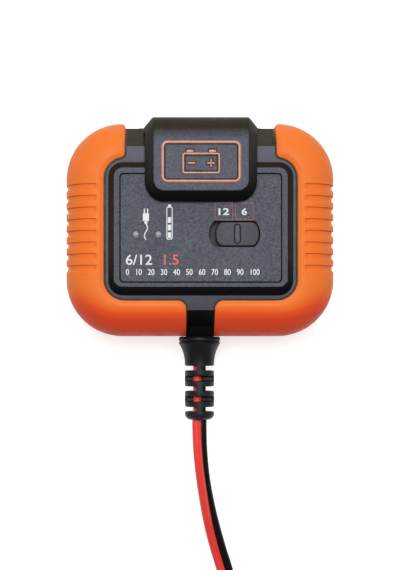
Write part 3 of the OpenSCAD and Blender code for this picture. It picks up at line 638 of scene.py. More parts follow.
def faded(material, low, high, colour, measure="Object", only_below=None):
    """Paints light and shade into a finish: fades it to another colour while Y, of a place in
    metres or of a facing from -1 to 1, goes from low to high. only_below keeps it to places lower than
    that."""
    tree = material.node_tree
    socket = tree.nodes["Principled BSDF"].inputs["Base Color"]
    plain = socket.links[0].from_socket
    coordinates = node(tree, "TexCoord").outputs
    where = node(tree, "SeparateXYZ", Vector=coordinates[measure])
    fade = spread(tree, where.outputs["Y"], low, high)
    if only_below is not None:
        place = node(tree, "SeparateXYZ", Vector=coordinates["Object"])
        lower = spread(tree, place.outputs["Y"], only_below, only_below - 0.004)
        fade = maths(tree, "MULTIPLY", fade, lower)
    tree.links.new(mixed(tree, fade, plain, (*colour, 1.0)), socket)


# Specular levels of the moulded plastics and of the near-black finishes of painted shade
MATT, DULL, FAINT = 0.2, 0.06, 0.03
# Least and greatest roughness of the grained housing, and of print
GRAINED, PRINTED = (0.5, 0.64), (0.5, 0.62)
# Specular level, strength of the tone and metallic share of the bare metals
METAL = 0.5, 0.06, 1.0

# Each slot's finish: its name, colour, least and greatest roughness, pits a metre, depth of
# the grain in millimetres and strength of the flecks, and then what differs from the default
FINISHES = {slot: finish(*row) for slot, row in {
    "grey_plastic": ("grained_grey_plastic", (0.09, 0.094, 0.12), GRAINED, 2600, 0.07, 0.5, MATT),
    "hook_plastic": ("grained_hook_plastic", (0.098, 0.103, 0.137), GRAINED, 2600, 0.07, 0.5, MATT),
    # Painted shade: a near-black copy of the grey plastics for the covers' slopes, recess and gap walls,
    # the knob's wall and groove and the relief's seat
    "smooth_edge": ("smooth_dark_edge", (0.005, 0.005, 0.006), (0.3, 0.42), 900, 0.01, 0.1, FAINT),
    # Painted shade: a near-black copy of the hook's plastic for its bevels, rims, hollow and knuckles
    "hook_edge": ("smooth_hook_edge", (0.004, 0.004, 0.005), (0.3, 0.42), 900, 0.01, 0.1, DULL),
    "panel_plastic": ("grained_panel_plastic", (0.09, 0.094, 0.12), GRAINED, 2600, 0.07, 0.6, MATT),
    "knob_plastic": ("grained_knob_plastic", (0.075, 0.08, 0.098), (0.45, 0.6), 3000, 0.04, 0.3, MATT),
    "slot_plastic": ("shaded_slot_plastic", (0.05, 0.052, 0.066), (0.45, 0.6), 3000, 0.04, 0.4, MATT),
    "orange_rubber": (
        "soft_orange_rubber", (0.92, 0.202, 0.029), (0.42, 0.54), 3200, 0.012, 0.03, 0.18, 0.04),
    "orange_print": ("copper_orange_lacquer", (0.6, 0.25, 0.16), (0.28, 0.4), 1500, 0.008, 0.05),
    "black_rubber": ("moulded_black_rubber", (0.016, 0.0165, 0.02), (0.36, 0.5), 2400, 0.015, 0.15, 0.22),
    # Also used for the painted shadow lines round the badge
    "black_plastic": ("moulded_black_plastic", (0.006, 0.006, 0.007), (0.35, 0.5), 2200, 0.02, 0.12, MATT),
    "lead_red": ("red_lead_insulation", (0.98, 0.052, 0.038), (0.28, 0.4), 1400, 0.006, 0.03, 0.5, 0.05),
    "lead_black": ("black_lead_insulation", (0.006, 0.004, 0.004), (0.28, 0.4), 1400, 0.006, 0.1, 0.16),
    "clear_lens": ("frosted_light_window", (0.21, 0.222, 0.26), (0.28, 0.36), 1200, 0.002, 0.05),
    "print_white": ("white_print", (0.82, 0.83, 0.85), PRINTED, 4000, 0.004, 0.03),
    "print_red": ("red_print", (0.8, 0.12, 0.1), PRINTED, 4000, 0.004, 0.03),
    # Painted shade: a brown line along the raised badge's outer edge
    "painted_edge_shade": ("rust_coloured_line", (0.4, 0.11, 0.05), (0.4, 0.55), 3000, 0.004, 0.05),
    "box_red": ("dull_red_print", (0.34, 0.1, 0.1), PRINTED, 4000, 0.004, 0.03),
    "steel": ("satin_steel", (0.62, 0.62, 0.62), (0.28, 0.42), 1200, 0.006, 0.06, *METAL),
    "pin_steel": ("oiled_pin_steel", (0.26, 0.26, 0.27), (0.38, 0.5), 1400, 0.006, 0.1, *METAL),
    "nickel": ("nickel_plate", (0.72, 0.7, 0.66), (0.16, 0.28), 900, 0.004, 0.05, *METAL),
    "aluminium": ("bare_aluminium", (0.76, 0.76, 0.77), (0.34, 0.48), 1600, 0.01, 0.06, *METAL),
    "led_green": ("green_tinted_diode", (0.3, 0.7, 0.3), (0.12, 0.2), 500, 0.003, 0.04),
    "led_red": ("red_tinted_diode", (0.75, 0.25, 0.2), (0.12, 0.2), 500, 0.003, 0.04),
    "board_green": ("solder_mask", (0.03, 0.22, 0.08), (0.22, 0.34), 700, 0.02, 0.3),
    "wire_brown": ("brown_insulation", (0.2, 0.08, 0.03), (0.35, 0.45), 1500, 0.006, 0.06),
    "ferrite": ("sintered_ferrite", (0.06, 0.06, 0.065), (0.5, 0.65), 4200, 0.03, 0.3),
    "bobbin_plastic": ("cream_bobbin_plastic", (0.8, 0.78, 0.68), (0.4, 0.5), 1800, 0.01, 0.04),
    "winding_tape": ("yellow_winding_tape", (0.85, 0.62, 0.08), (0.2, 0.32), 600, 0.02, 0.1),
    "capacitor_sleeve": ("dark_shrink_sleeve", (0.02, 0.03, 0.1), (0.22, 0.34), 800, 0.008, 0.12),
    "choke_green": ("coated_choke", (0.2, 0.3, 0.1), (0.35, 0.5), 2000, 0.03, 0.15),
    "ceramic": ("glazed_ceramic", (0.85, 0.83, 0.76), (0.15, 0.25), 700, 0.005, 0.03),
    "capacitor_yellow": ("yellow_box_capacitor", (0.9, 0.7, 0.05), (0.25, 0.38), 900, 0.01, 0.05),
}.items()}

# Painted light and shade on finishes that change along a piece: from and to which Y in metres, and to
# which colour
for slot, low, high, colour in (
    # Painted shade and light on the slopes: near-black low down, lighter from the middle up, and brownish
    # painted warm light at the top
    ("smooth_edge", -0.026, -0.012, (0.031, 0.022, 0.0215)),
    ("smooth_edge", 0.010, 0.030, (0.024, 0.0175, 0.0075)),
    # Painted shade: the hook's roll darkens where it turns away from the front
    ("hook_plastic", 0.0355, 0.0405, (0.02, 0.017, 0.009)),
    # Painted light: the hook's near-black bevels lighter towards the top
    ("hook_edge", 0.013, 0.028, (0.03, 0.03, 0.026)),
    # Painted shade low on the housing's front, and painted light high on it
    ("grey_plastic", -0.024, -0.033, (0.056, 0.057, 0.068)),
    ("grey_plastic", 0.022, 0.032, (0.12, 0.124, 0.158)),
    # Painted shade: the relief darker next to the housing
    ("black_rubber", -0.0595, -0.055, (0.007, 0.0072, 0.009)),
):
    faded(FINISHES[slot], low, high, colour)
# Painted shade: the orange turns redder, and then darker, on the bumpers' faces that look down
for low, high, colour in ((-0.1, -0.34, (0.93, 0.108, 0.018)), (-0.27, -0.52, (0.8, 0.068, 0.018))):
    faded(FINISHES["orange_rubber"], low, high, colour, "Normal", only_below=0.024)


# ---- hook ----

HOOK_HALF, HOOK_TOP, HOOK_END = 23.05, 45.7, 11.2
HOOK_FACE, HOOK_DEPTH, HOOK_T = 47.6, 5.3, 2.5
HOOK_LIFT, HOOK_BEVEL, HOOK_CORNER = 0.9, 3.6, 8.0
HOOK_HOLLOW, HOOK_BORDER, ROLL_R, TOE = 3.4, 7.0, 8.0, 0.5
LEG_WIDER, LEG_EASE = 0.45, 5.0
FACE_MARKS = 4
PIVOT_Y, PIVOT_Z = 42.4, 21.0
# Section of a knuckle: places along the pin, and the radius at each
KNUCKLE_X = [12.0, 12.0, 12.3, 22.15, 22.45, 22.45]
KNUCKLE_R = [1.3, 2.8, 3.1, 3.1, 2.8, 1.3]
ROLL_START = HOOK_TOP - ROLL_R - HOOK_END
ROLL_STOP = ROLL_START + ROLL_R * math.pi / 2
LEG_STOP = ROLL_STOP + HOOK_FACE - ROLL_R - PIVOT_Z


def rounded_line(corners, radii):
    """Open line (n, 2) whose inner corners are arcs of the given radii, each of which touches
    both of its straight stretches and has five points."""
    c = np.asarray(corners, float)
    line = [c[:1]]
    for before, here, after, r in zip(c, c[1:], c[2:], radii):
        a, b = unit(before - here), unit(after - here)
        half = math.acos(float(a @ b)) / 2
        centre = here + unit(a + b) * r / math.sin(half)
        start = here + a * r / math.tan(half) - centre
        stop = here + b * r / math.tan(half) - centre
        sweep = math.pi - 2 * half
        t = np.linspace(0, 1, 5)[:, None]
        turned = np.sin((1 - t) * sweep) * start + np.sin(t * sweep) * stop
        line.append(centre + turned / math.sin(sweep))
    return np.concatenate(line + [c[-1:]])


def over_roll(x, s, n):
    """Bends the hook's flat plan: s runs up the flap, round the roll and down the leg, and n
    stands on its face. On the roll the point lies at radius ROLL_R + n from its middle."""
    turn = np.clip((s - ROLL_START) / ROLL_R, 0, np.pi / 2)
    down = np.maximum(s - ROLL_STOP, 0)
    r = ROLL_R + n
    y = HOOK_END + np.minimum(s, ROLL_START) + r * np.sin(turn)
    z = HOOK_FACE - ROLL_R + r * np.cos(turn) - down
    return joined(x, y, z)


def hook():
    """Half of the hook's plan outline, drawn in by e, times its section (e, n): face, bevel,
    rim and hollow. The other half is its mirror image, and two knuckles end the leg."""
    section = rounded_line(
        [
            [HOOK_BORDER, 0], [HOOK_BEVEL, 0], [0, HOOK_LIFT - HOOK_DEPTH], [0, -HOOK_DEPTH],
            [HOOK_HOLLOW, -HOOK_DEPTH], [HOOK_HOLLOW, -HOOK_T], [HOOK_BORDER, -HOOK_T],
        ],
        [1.6, 0.8, 0.3, 0.3, 0.5],
    )
    e, n = section[None, :, 0], section[None, :, 1]
    sides = np.concatenate([
        np.linspace(LEG_STOP, ROLL_STOP, 6), np.linspace(ROLL_STOP, ROLL_START, 20)[1:],
        np.linspace(ROLL_START, HOOK_CORNER, 7)[1:-1],
    ])[:, None]
    turn = np.radians(np.linspace(0, 90, 14))[:, None]
    r = HOOK_CORNER - e
    flat = np.linspace(HOOK_HALF - HOOK_CORNER, 0, 8)[1:, None]
    x = np.concatenate([
        HOOK_HALF - e + LEG_WIDER * smoothstep((sides - ROLL_START - LEG_EASE) / LEG_EASE),
        HOOK_HALF - HOOK_CORNER + r * np.cos(turn), flat + 0 * e,
    ])
    s = np.concatenate([sides + 0 * e, HOOK_CORNER - r * np.sin(turn), e + 0 * flat])
    s -= TOE * smoothstep(1 - s / HOOK_CORNER) * np.clip(1 - e / HOOK_BEVEL, 0, 1)
    middle = np.maximum(s[:, :1], HOOK_CORNER)
    x = np.concatenate([0 * middle, x, 0 * middle], 1)
    s = np.concatenate([middle, s, middle], 1)
    n = np.concatenate([[[0.0]], n, [[-HOOK_T]]], 1)
    half = over_roll(x, s, n)
    # Past the face, the bevel, rim, hollow, knuckles and end take the near-black finish: painted shade
    painted_shade_marks = (np.arange(half.shape[1] - 1) >= FACE_MARKS).astype(int)
    a = np.radians(np.arange(0, 360, 10))[:, None]
    knuckle = joined(KNUCKLE_X, PIVOT_Y + KNUCKLE_R * np.cos(a), PIVOT_Z + KNUCKLE_R * np.sin(a))
    surface = Surface()
    mirror = np.array([-1.0, 1.0, 1.0])
    for flip in (1, mirror):
        surface.grid(half * flip, mark=painted_shade_marks[None])
        surface.grid(knuckle * flip, wrap_u=True, wrap_v=True, mark=1)
    surface.cap(np.concatenate([half[0, :-1], (half[0] * mirror)[:0:-1]]), mark=1)
    piece = surface.piece("hook_skin", "hook_plastic", "hook_edge")
    return stands_for(piece, "hook", "grey_plastic", "hanging_hook")


# ---- strain relief ----

RELIEF_LEN, RELIEF_R = 35.15, 6.2
# Collar and neck inside the wall: distances from the housing, and the radius at each
NECK_AT = [-5.65, -4.05, -4.04, -1.41, -1.4, -0.01]
NECK_R = [5.8, 5.8, 4.8, 4.8, 5.6, 5.6]
FLANGE_R, FLANGE_LEN, FLANGE_ROUND, FLANGE_STEP = 8.75, 2.4, 0.9, 0.55
SEAT_X = 5.8
SEAT = [[EXIT_Y - 0.05, 15.0], [EXIT_Y - 0.05, 26.65], [-40.4, 28.6], [-42.9, 24.2], [-42.9, 15.0]]
TAPER_END, TAPER_R, RELIEF_ROUND, RIB_ROUND = 11.65, 16.45, 2.6, 0.6
NOTCH_FIRST, NOTCH_PITCH, NOTCH_IN, NOTCH_ROUND = 13.35, 8.65, 1.3, 0.7
SIDE_NOTCH, FRONT_NOTCH = 1.9, 2.2
UNCUT = 99.0


def relief_radius(s):
    """Radius of the relief at distance s from the housing: collar and neck in the wall, a
    rounded flange, a hollow taper, the ribbed body and its rounded end."""
    inside = np.interp(s, NECK_AT, NECK_R)
    edge = FLANGE_ROUND ** 2 - np.maximum(FLANGE_ROUND - s, 0) ** 2
    flange = FLANGE_R - FLANGE_ROUND + np.sqrt(np.maximum(edge, 0))
    flange -= FLANGE_STEP * smoothstep((s - FLANGE_LEN) / FLANGE_ROUND + 1)
    taper = RELIEF_R + TAPER_R - np.sqrt(np.maximum(TAPER_R ** 2 - (TAPER_END - s) ** 2, 0))
    body = np.where(s < TAPER_END, np.minimum(taper, FLANGE_R), RELIEF_R)
    outside = np.where(s < FLANGE_LEN, flange, body)
    past = np.clip(s - (RELIEF_LEN - RELIEF_ROUND), 0, RELIEF_ROUND)
    end = RELIEF_R - RELIEF_ROUND + np.sqrt(RELIEF_ROUND ** 2 - past ** 2)
    outside = np.where(past > 0, end, outside)
    return np.where(s < 0, inside, outside)


def notch_limit(s, centres, height):
    """How far from the middle the relief reaches in its notches, as (n, 1): NOTCH_IN, with
    round inner corners, and UNCUT between them."""
    off = np.abs(s[:, None] - centres).min(1)
    corner = np.clip(off - (height / 2 - NOTCH_ROUND), 0, NOTCH_ROUND)
    depth = NOTCH_IN + NOTCH_ROUND - np.sqrt(NOTCH_ROUND ** 2 - corner ** 2)
    return np.where(off < height / 2 - 1e-6, depth, UNCUT)[:, None]


def rib_rounding(s, centres, height):
    """How far a quarter round of RIB_ROUND draws the ribs in beside the notches, as (n, 1)."""
    off = np.abs(np.abs(s[:, None] - centres).min(1) - height / 2)
    near = np.clip(1 - off / RIB_ROUND, 0, 1)
    return RIB_ROUND * (1 - np.sqrt(1 - near ** 2))[:, None]


def strain_relief():
    """Turned about the lead's axis: at distance s and angle a the radius is the profile's, cut
    to the limit over |cos a| in the side notches and over |sin a| in the front and back ones.
    A seat whose top goes on from the housing's slope fills the gap between the bumpers."""
    a = np.radians(np.arange(0, 360, 2.5))[None]
    notches = (
        (NOTCH_FIRST + NOTCH_PITCH * np.arange(3), SIDE_NOTCH, np.abs(np.cos(a))),
        (NOTCH_FIRST + NOTCH_PITCH * (np.arange(2) + 0.5), FRONT_NOTCH, np.abs(np.sin(a))),
    )
    lines = [
        NECK_AT, np.linspace(0, FLANGE_LEN, 17), np.linspace(FLANGE_LEN, TAPER_END, 22),
        np.linspace(TAPER_END, RELIEF_LEN - RELIEF_ROUND, 20),
        RELIEF_LEN - RELIEF_ROUND * (1 - np.sin(np.radians(np.linspace(0, 90, 12)))),
    ]
    beside = RIB_ROUND * np.array([0.03, 0.3, 0.6, 0.87, 1])
    within = np.linspace(-1, 1, 13) * (SIDE_NOTCH / 2 - 0.01)
    for at, height, _ in notches:
        offsets = np.concatenate([height / 2 + beside, height / 2 - beside])
        lines.append((at[:, None] + np.concatenate([within, offsets, -offsets])).reshape(-1))
    s = np.unique(np.concatenate(lines))
    r = relief_radius(s)[:, None]
    for at, height, facing in notches:
        r = r - rib_rounding(s, at, height) * smoothstep(3 * facing - 0.8)
    for at, height, facing in notches:
        r = np.minimum(r, notch_limit(s, at, height) / (facing + 1e-6))
    surface = Surface()
    surface.tube(joined(r * np.cos(a), EXIT_Y - s[:, None], RELIEF_Z + r * np.sin(a)))
    seat = np.stack([joined(x, *np.transpose(SEAT)) for x in (-SEAT_X, SEAT_X)])
    # The seat takes the near-black finish: painted shade below the bumpers
    surface.tube(seat, 1, (1, 1))
    piece = surface.piece("relief_skin", "black_rubber", "smooth_edge", sharp=45)
    return stands_for(piece, "housing", "black_rubber", "strain_relief")


# ---- switch knob ----

SLOT_Y = -2.45
KNOB_X, KNOB_SIZE, KNOB_CORNER = 15.1, np.array([18.0, 10.1]), np.array([2.9, 4.7])
KNOB_TOP, PLATE_LOW, PLATE_TOP = 41.0, 36.4, 37.4
PLATE_X, PLATE_Y = (2.0, 28.2), (-9.2, 4.3)
STEM_X, STEM_Y, STEM_LOW = (13.1, 17.1), (-3.95, -0.95), 33.8
PAD_TALLER = 5.4
# How far the knob's outline is drawn in, or the pad's width, then the height over the top and
# the mark of the faces up to the next row
# Mark 1 is painted shade: the wall, the rounded rim and the pad's groove take the near-black finish. Mark
# 3 is painted light: the pad takes the lighter hook plastic
KNOB_ROWS = [(0, -3.7, 1), (0, -0.5, 1), (0.06, -0.28, 1), (0.2, -0.1, 1), (0.4, 0, 0)]
PAD_ROWS = [
    (3.1, 0, 0), (2.95, -0.08, 1), (2.9, -0.5, 1), (1.9, -0.5, 1), (1.85, -0.14, 3),
    (1.6, -0.02, 3), (0.9, 0.02, 3),
]


def knob_loop(inset):
    """The knob's outline, drawn in."""
    size = KNOB_SIZE - 2 * inset
    corner = KNOB_CORNER - inset * np.array([0.5, 1])
    return rounded_loop(KNOB_X, SLOT_Y, *size, *corner)


def pad_loop(w):
    """The finger pad's outline at width w, an upright shape with round ends."""
    return rounded_loop(KNOB_X, SLOT_Y, w, w + PAD_TALLER, w / 2, w / 2)


def knob():
    """Loops drawn in step by step, each at its height: the wall, a rounded rim, the flat top,
    a groove round the finger pad, and the pad, which swells a little towards its middle."""
    loops = [knob_loop(row[0]) for row in KNOB_ROWS] + [pad_loop(row[0]) for row in PAD_ROWS]
    heights, marks = np.transpose(KNOB_ROWS + PAD_ROWS)[1:]
    surface = Surface()
    surface.tube(stacked(loops, KNOB_TOP + heights), marks[:-1, None].astype(int), (1, 3))
    # The plate under the knob takes the darker slot plastic: painted shade
    box_at(surface, PLATE_X, PLATE_Y, (PLATE_LOW, PLATE_TOP), 2)
    box_at(surface, STEM_X, STEM_Y, (STEM_LOW, PLATE_LOW + 0.1))
    finishes = "knob_plastic", "smooth_edge", "slot_plastic", "hook_plastic"
    piece = surface.piece("knob_skin", *finishes, sharp=35)
    return stands_for(piece, "knob", "knob_plastic", "switch_knob")


# ---- printed marks on the panel ----

PRINT_T, PRINT_SUNK, LETTER_DEPTH = 0.03, 0.05, 0.02


def printed(name, outlines, finish_name, face_z=PANEL_Z, body="housing"):
    """Flat marks on a face: each outline (n, 2) becomes a thin raised patch."""
    surface = Surface()
    for outline in outlines:
        surface.tube(stacked([outline, outline], (face_z - PRINT_SUNK, face_z + PRINT_T)))
    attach(surface.piece(name, finish_name, merge=0.0005), body)


def bar(x, y, w, h):
    """Outline of a rectangle about its middle."""
    return np.array([[-w, -h], [w, -h], [w, h], [-w, h]]) / 2 + [x, y]


def stroke(line_points, width):
    """Outline of a pen stroke of a width along an open line, square at its ends."""
    p = np.asarray(line_points, float)
    across = leftwards(p) * width / 2
    return np.concatenate([p + across, (p - across)[::-1]])


def frame_strokes(x0, x1, y0, y1, r, width):
    """A rectangle with round corners drawn as two strokes, a left and a right half."""
    mid = (x0 + x1) / 2
    right = np.concatenate([
        [[mid, y0]], arc(x1 - r, y0 + r, r, -90, 0, 7), arc(x1 - r, y1 - r, r, 0, 90, 7), [[mid, y1]],
    ])
    left = right * [-1, 1] + [2 * mid, 0]
    return [stroke(right, width), stroke(left, width)]


def numerals(name, text, x, y, finish_name, weight):
    """Plain numbers as thin raised print that fills a box between the limits x and y."""
    data = bpy.data.curves.new(name, "FONT")
    data.body = text
    data.offset = weight
    data.extrude = LETTER_DEPTH
    letters = linked(name, data)
    bpy.context.view_layer.update()
    mesh = bpy.data.meshes.new_from_object(letters.evaluated_get(bpy.context.evaluated_depsgraph_get()))
    bpy.data.objects.remove(letters)
    box = np.array([x, y, (PANEL_Z - PRINT_SUNK, PANEL_Z + PRINT_T)])

    def filling(co):
        """The points stretched from their own limits to the box."""
        low, high = co.min(0), co.max(0)
        return (box[:, 0] + (co - low) / (high - low) * (box[:, 1] - box[:, 0])) * MM

    reshaped(mesh, filling)
    mesh.materials.clear()
    mesh.materials.append(FINISHES[finish_name])
    mesh.name = name
    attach(linked(name, mesh), "housing")


# ---- badge ----

BADGE_Y = 26.6
SIGN_Y = BADGE_Y - 0.7
TERMINAL_X, POLE_X = 4.6, 4.0
BADGE_T = 0.45


def frame_outlines(w, h, r, line, x, y):
    """A rectangular frame's face of a line width, as two halves that meet in the middle."""

    def half(inset):
        """The right half of the outline, drawn in."""
        near = max(r - inset, 0.1)
        at_x, at_y = w / 2 - inset - near, h / 2 - inset - near
        return np.concatenate([
            [[0, inset - h / 2]], arc(at_x, -at_y, near, -90, 0, 8),
            arc(at_x, at_y, near, 0, 90, 8), [[0, h / 2 - inset]],
        ])

    right = np.concatenate([half(0), half(line)[::-1]])
    return [right + [x, y], (right * [-1, 1])[::-1] + [x, y]]


def raised_frame(surface, w, h, r, line, y):
    """A frame with a rounded back: its outline drawn in step by step, each at its height."""
    inset = np.array([0, 0, 0.12, 0.3, 0.7, 0.88, 1, 1]) * line
    heights = np.array([-0.05, 0.6, 0.92, 1, 1, 0.92, 0.6, -0.05]) * BADGE_T
    loops = [rounded_loop(0, y, w - 2 * d, h - 2 * d, *[max(r - d, 0.2)] * 2) for d in inset]
    surface.grid(stacked(loops, HOOK_FACE + heights), wrap_u=True, wrap_v=True)


def raised_bar(surface, x, y, w, h):
    """A bar with rounded edges: its outline drawn in step by step, each at its height."""
    inset = np.array([0, 0, 0.1, 0.24])
    heights = np.array([-0.02, 0.27, 0.41, BADGE_T])
    r = min(w, h) * 0.35
    loops = [rounded_loop(x, y, w - 2 * d, h - 2 * d, r - d, r - d, 4) for d in inset]
    surface.tube(stacked(loops, HOOK_FACE + heights))


def badge():
    """Raised frame with a plain battery sign in it: case, two terminals, minus and plus."""
    surface = Surface()
    raised_frame(surface, 32.2, 16.8, 2.4, 0.95, BADGE_Y)
    raised_frame(surface, 15.5, 8.6, 1.1, 0.8, SIGN_Y)
    for side in (-1, 1):
        raised_bar(surface, side * TERMINAL_X, SIGN_Y + 4.9, 3.0, 1.1)
        raised_bar(surface, side * POLE_X, SIGN_Y, 3.2, 0.8)
        raised_bar(surface, POLE_X, SIGN_Y + side * 1.05, 0.8, 1.2)
    piece = surface.piece("badge_skin", "orange_print", sharp=60)
    return stands_for(piece, "hook", "orange_print", "hook_badge")


# ---- light windows ----

LENS_R, LENS_FLANGE_R, LENS_FLANGE_T, LENS_RISE, LENS_SUNK = 1.5, 2.2, 0.8, 0.35, 0.02


def lens(name):
    """Turned about its own middle: a flange behind the panel, a stem through it and a low
    dome on its face."""
    low, high = (np.array(corner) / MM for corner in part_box(name))
    x, y = (low[:2] + high[:2]) / 2
    up = np.radians(np.linspace(0, 84, 8))
    flange_top = low[2] + LENS_FLANGE_T
    r = np.concatenate([[LENS_FLANGE_R, LENS_FLANGE_R, LENS_R, LENS_R], LENS_R * np.cos(up)])[:, None]
    z = np.concatenate([
        [low[2], flange_top, flange_top, PANEL_Z - LENS_SUNK], PANEL_Z + LENS_RISE * np.sin(up),
    ])[:, None]
    a = np.radians(np.arange(0, 360, 10))
    surface = Surface()
    surface.tube(joined(x + r * np.cos(a), y + r * np.sin(a), z))
    piece = surface.piece(name + "_skin", "clear_lens", sharp=50)
    return stands_for(piece, "housing", "clear_lens", name)


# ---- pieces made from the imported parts: their sharp edges rounded ----

RECESS_X, RECESS_Y, RECESS_Z = 33.5, 22.6, (37.8, 41.5)
PLATFORM_Z = 41.6
SLOPE_WIDER, SLOPE_FROM, SLOPE_EASE = 0.6, 16, 8
# Faces that differ by less are joined, and edges that bend more are rounded, in degrees
FLAT_TO, ROUND_FROM = 1.0, 24.0


def slot_of(part):
    """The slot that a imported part's material is named after."""
    return part.data.materials[0].name.split(".")[0]


def softened(name, width, dark, reshape=None, dark_edges=False):
    """A copy of a CAD node with its doubles merged, its flat faces joined and its edges
    rounded by width millimetres. Faces that dark picks take the near-black finish of painted
    shade, and so do the rounded edges if dark_edges is true. reshape gives its points (n, 3) new places."""
    source = frame["nodes"][name]
    slot = slot_of(source)
    mesh = source.data.copy()
    mesh.name = name + "_skin"

    def joined_faces(work):
        """Joins the flat faces, and marks with 1 those that are dark."""
        flat = math.radians(FLAT_TO)
        bmesh.ops.dissolve_limit(work, angle_limit=flat, verts=work.verts, edges=work.edges)
        return [int(bool(dark(face))) for face in work.faces]

    marks = cleaned(mesh, 0.004, 0.002, joined_faces)
    if reshape:
        reshaped(mesh, lambda co: reshape(co / MM) * MM)
    mesh.materials.clear()
    mesh.materials.append(FINISHES[slot])
    mesh.materials.append(FINISHES["smooth_edge"])
    mesh.polygons.foreach_set("material_index", marks)
    piece = linked(name + "_skin", mesh)
    bevel = piece.modifiers.new("rounded edges", "BEVEL")
    bevel.width = width * MM
    bevel.segments = 3
    bevel.limit_method = "ANGLE"
    bevel.angle_limit = math.radians(ROUND_FROM)
    bevel.material = 1 if dark_edges else -1
    even = piece.modifiers.new("even shading", "WEIGHTED_NORMAL")
    even.keep_sharp = True
    stands_for(piece, source["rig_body"], slot, name)


def slanted(face):
    """A face drafted between the front and the side."""
    return 0.15 < abs(face.normal.z) < 0.97


def upright(face):
    """A face square to the front."""
    return abs(face.normal.z) < 0.1


def slanted_or_sunk(face):
    """A slanted face, or one of the panel's recess or the knob's slot."""
    x, y, z = face.calc_center_median() / MM
    sunk = abs(x) < RECESS_X + 0.1 and abs(y) < RECESS_Y + 0.1 and RECESS_Z[0] < z < RECESS_Z[1]
    return slanted(face) or (sunk and (upright(face) or z > FRONT_Z + 0.2))


def deeper_lower_slope(co):
    """Widens the slope below the platform: its top edge moves up and its foot moves down, by
    an amount that eases in over the lower corners."""
    x, y, z = co.T
    amount = SLOPE_WIDER * smoothstep((-y - SLOPE_FROM) / SLOPE_EASE)
    inside = (np.abs(x) < WINDOW_X - 0.5) & (y > -WINDOW_Y + 0.5)
    top = inside & (np.abs(z - PLATFORM_Z) < 0.05) & (np.abs(y) > RECESS_Y + 0.5)
    foot = inside & (np.abs(z - FRONT_Z) < 0.05)
    moved = co.copy()
    moved[:, 1] += np.where(top, amount, 0) - np.where(foot, amount, 0)
    return moved


# Painted shade: the covers' slanted faces, the walls and floor of the panel's recess, and the panel's
# walls and rounded edges take the near-black finish
softened("rear_cover", 0.3, slanted)
softened("front_cover", 0.35, slanted_or_sunk, deeper_lower_slope)
softened("face_panel", 0.25, upright, dark_edges=True)

for part in frame["nodes"].values():
    part.material_slots[0].material = FINISHES[slot_of(part)]
frame["nodes"]["hook_pin"].material_slots[0].material = FINISHES["pin_steel"]

for name, side in (("left", -1), ("right", 1)):
    bumper(name, side)
    # Painted shadow in the gap round each bumper
    seam(name, side)
hook()
knob()
relief = strain_relief()
for name in ("lens_power", "lens_charge"):
    lens(name)
badge()
# Painted shadow round the raised badge: black lines along its frames and sign, and a brown line along its
# outer edge
shadow_lines = frame_outlines(30.5, 15.1, 1.6, 0.75, 0, BADGE_Y)
shadow_lines += frame_outlines(15.9, 9.0, 1.3, 1.7, 0, SIGN_Y)
shadow_lines += [bar(x, SIGN_Y + 5.1, 3.7, 1.9) for x in (-TERMINAL_X, TERMINAL_X)]
shadow_lines += [bar(x, SIGN_Y, 3.9, 1.5) for x in (-POLE_X, POLE_X)] + [bar(POLE_X, SIGN_Y, 1.5, 3.9)]
edge_shade_lines = frame_outlines(32.6, 17.1, 2.5, 0.4, 0, BADGE_Y)
printed("badge_shadow_lines", shadow_lines, "black_plastic", HOOK_FACE, "hook")
printed("badge_edge_lines", edge_shade_lines, "painted_edge_shade", HOOK_FACE, "hook")

# Panel: a plug sign and a battery sign beside the lights, boxes and numbers over the
# switch, and numbers and a number scale below
PLUG_X, CELL_X = -22.55, -12.85
bend = np.linspace(0, 1, 25)
plug = [bar(PLUG_X + x, 6.9, 0.5, 2.0) for x in (-0.65, 0.65)]
plug += [bar(PLUG_X, 4.4, 2.5, 3.2), bar(PLUG_X, 2.3, 1.2, 1.2)]
plug += [stroke(joined(PLUG_X + 0.62 * np.sin(2 * np.pi * bend), 1.7 - 6.6 * bend), 0.42)]
cell = frame_strokes(CELL_X - 1.1, CELL_X + 1.1, -4.6, 8.5, 0.4, 0.35) + [bar(CELL_X, 9.15, 1.2, 0.9)]
cell += [bar(CELL_X, y, 1.35, 2.3) for y in (-2.95, 0.15, 3.25)]
boxes = [line for x in (5.85, 14.3) for line in frame_strokes(x, x + 7.3, 3.3, 10.3, 0.5, 0.25)]
printed("plug_sign", plug, "print_white")
printed("battery_sign", cell, "print_white")
printed("switch_boxes", boxes, "box_red")
scale = "   ".join(str(n) for n in range(0, 101, 10))
for name, text, x, y, finish_name, weight in (
    ("number_12", "12", (7.3, 11.7), (5.3, 8.1), "print_white", 0.02),
    ("number_6", "6", (16.8, 19.0), (5.3, 8.1), "print_white", 0.02),
    ("number_6_12", "6/12", (-30.8, -20.0), (-15.2, -11.0), "print_white", 0.006),
    ("number_1_5", "1.5", (-15.1, -9.2), (-15.2, -11.0), "print_red", 0.006),
    ("number_scale", scale, (-30.8, 24.2), (-19.4, -16.9), "print_white", 0.012),
):
    numerals(name, text, x, y, finish_name, weight)

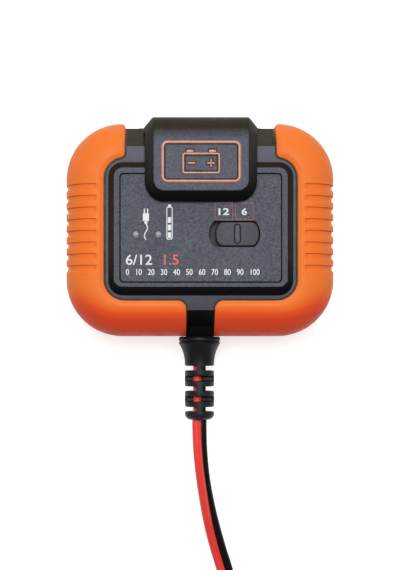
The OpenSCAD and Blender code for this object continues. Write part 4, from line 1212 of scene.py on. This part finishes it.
tie = coil_tie()
cord, cord_path, cord_length = lead()
stands_for(cord, "housing", "lead_red", "dc_lead", "dc_lead_coil")


# ---- floor and light ----

FLOOR_HALF = 2500.0
FLOOR_GREY = 0.8
FLOOR_GLOW = 0.68
AMBIENT = 0.28


def floor():
    """Pale floor: diffuse, brightened for the camera so that it shows white round the shadow."""
    edge = np.array([-FLOOR_HALF, FLOOR_HALF])
    surface = Surface()
    surface.grid(joined(edge, edge[:, None], 0.0))
    material, tree, shader = new_material("pale_floor")
    grey = (FLOOR_GREY, FLOOR_GREY, FLOOR_GREY, 1)
    feed(tree, shader, Base_Color=grey, Roughness=0.9, Specular_IOR_Level=0.1)
    ray = node(tree, "LightPath").outputs
    seen = maths(tree, "MAXIMUM", ray["Is Glossy Ray"], ray["Is Transmission Ray"])
    seen = maths(tree, "MAXIMUM", ray["Is Camera Ray"], seen)
    strength = maths(tree, "MULTIPLY", seen, FLOOR_GLOW)
    glow = node(tree, "Emission", Color=(1, 1, 1, 1), Strength=strength)
    both = node(tree, "AddShader", in0=shader.outputs[0], in1=glow.outputs[0])
    feed(tree, tree.nodes["Material Output"], Surface=both.outputs[0])
    piece = surface.piece("floor")
    piece.data.materials.append(material)


def lamp(name, place, size, power):
    """Soft square area lamp aimed at the charger's middle; metres and watts."""
    data = bpy.data.lights.new(name, "AREA")
    data.size = size
    data.energy = power
    made = linked(name, data)
    made.location = place
    made.rotation_euler = (Vector(place) - Vector((0, 0, 0.02))).to_track_quat("Z", "Y").to_euler()


floor()
lamp("front_softbox", (-0.03, 0.25, 1.0), 0.5, 7.3)
lamp("top_softbox", (0.0, 0.9, 0.45), 0.5, 1.0)

# The world is white where the camera sees it and lights the object less
world = bpy.data.worlds.new("studio")
bpy.context.scene.world = world
world.use_nodes = True
tree = world.node_tree
seen = node(tree, "LightPath").outputs["Is Camera Ray"]
strength = spread(tree, seen, 0.0, 1.0, AMBIENT, 1.0)
feed(tree, tree.nodes["Background"], Color=(1, 1, 1, 1), Strength=strength)
bpy.context.scene.view_settings.view_transform = "Standard"
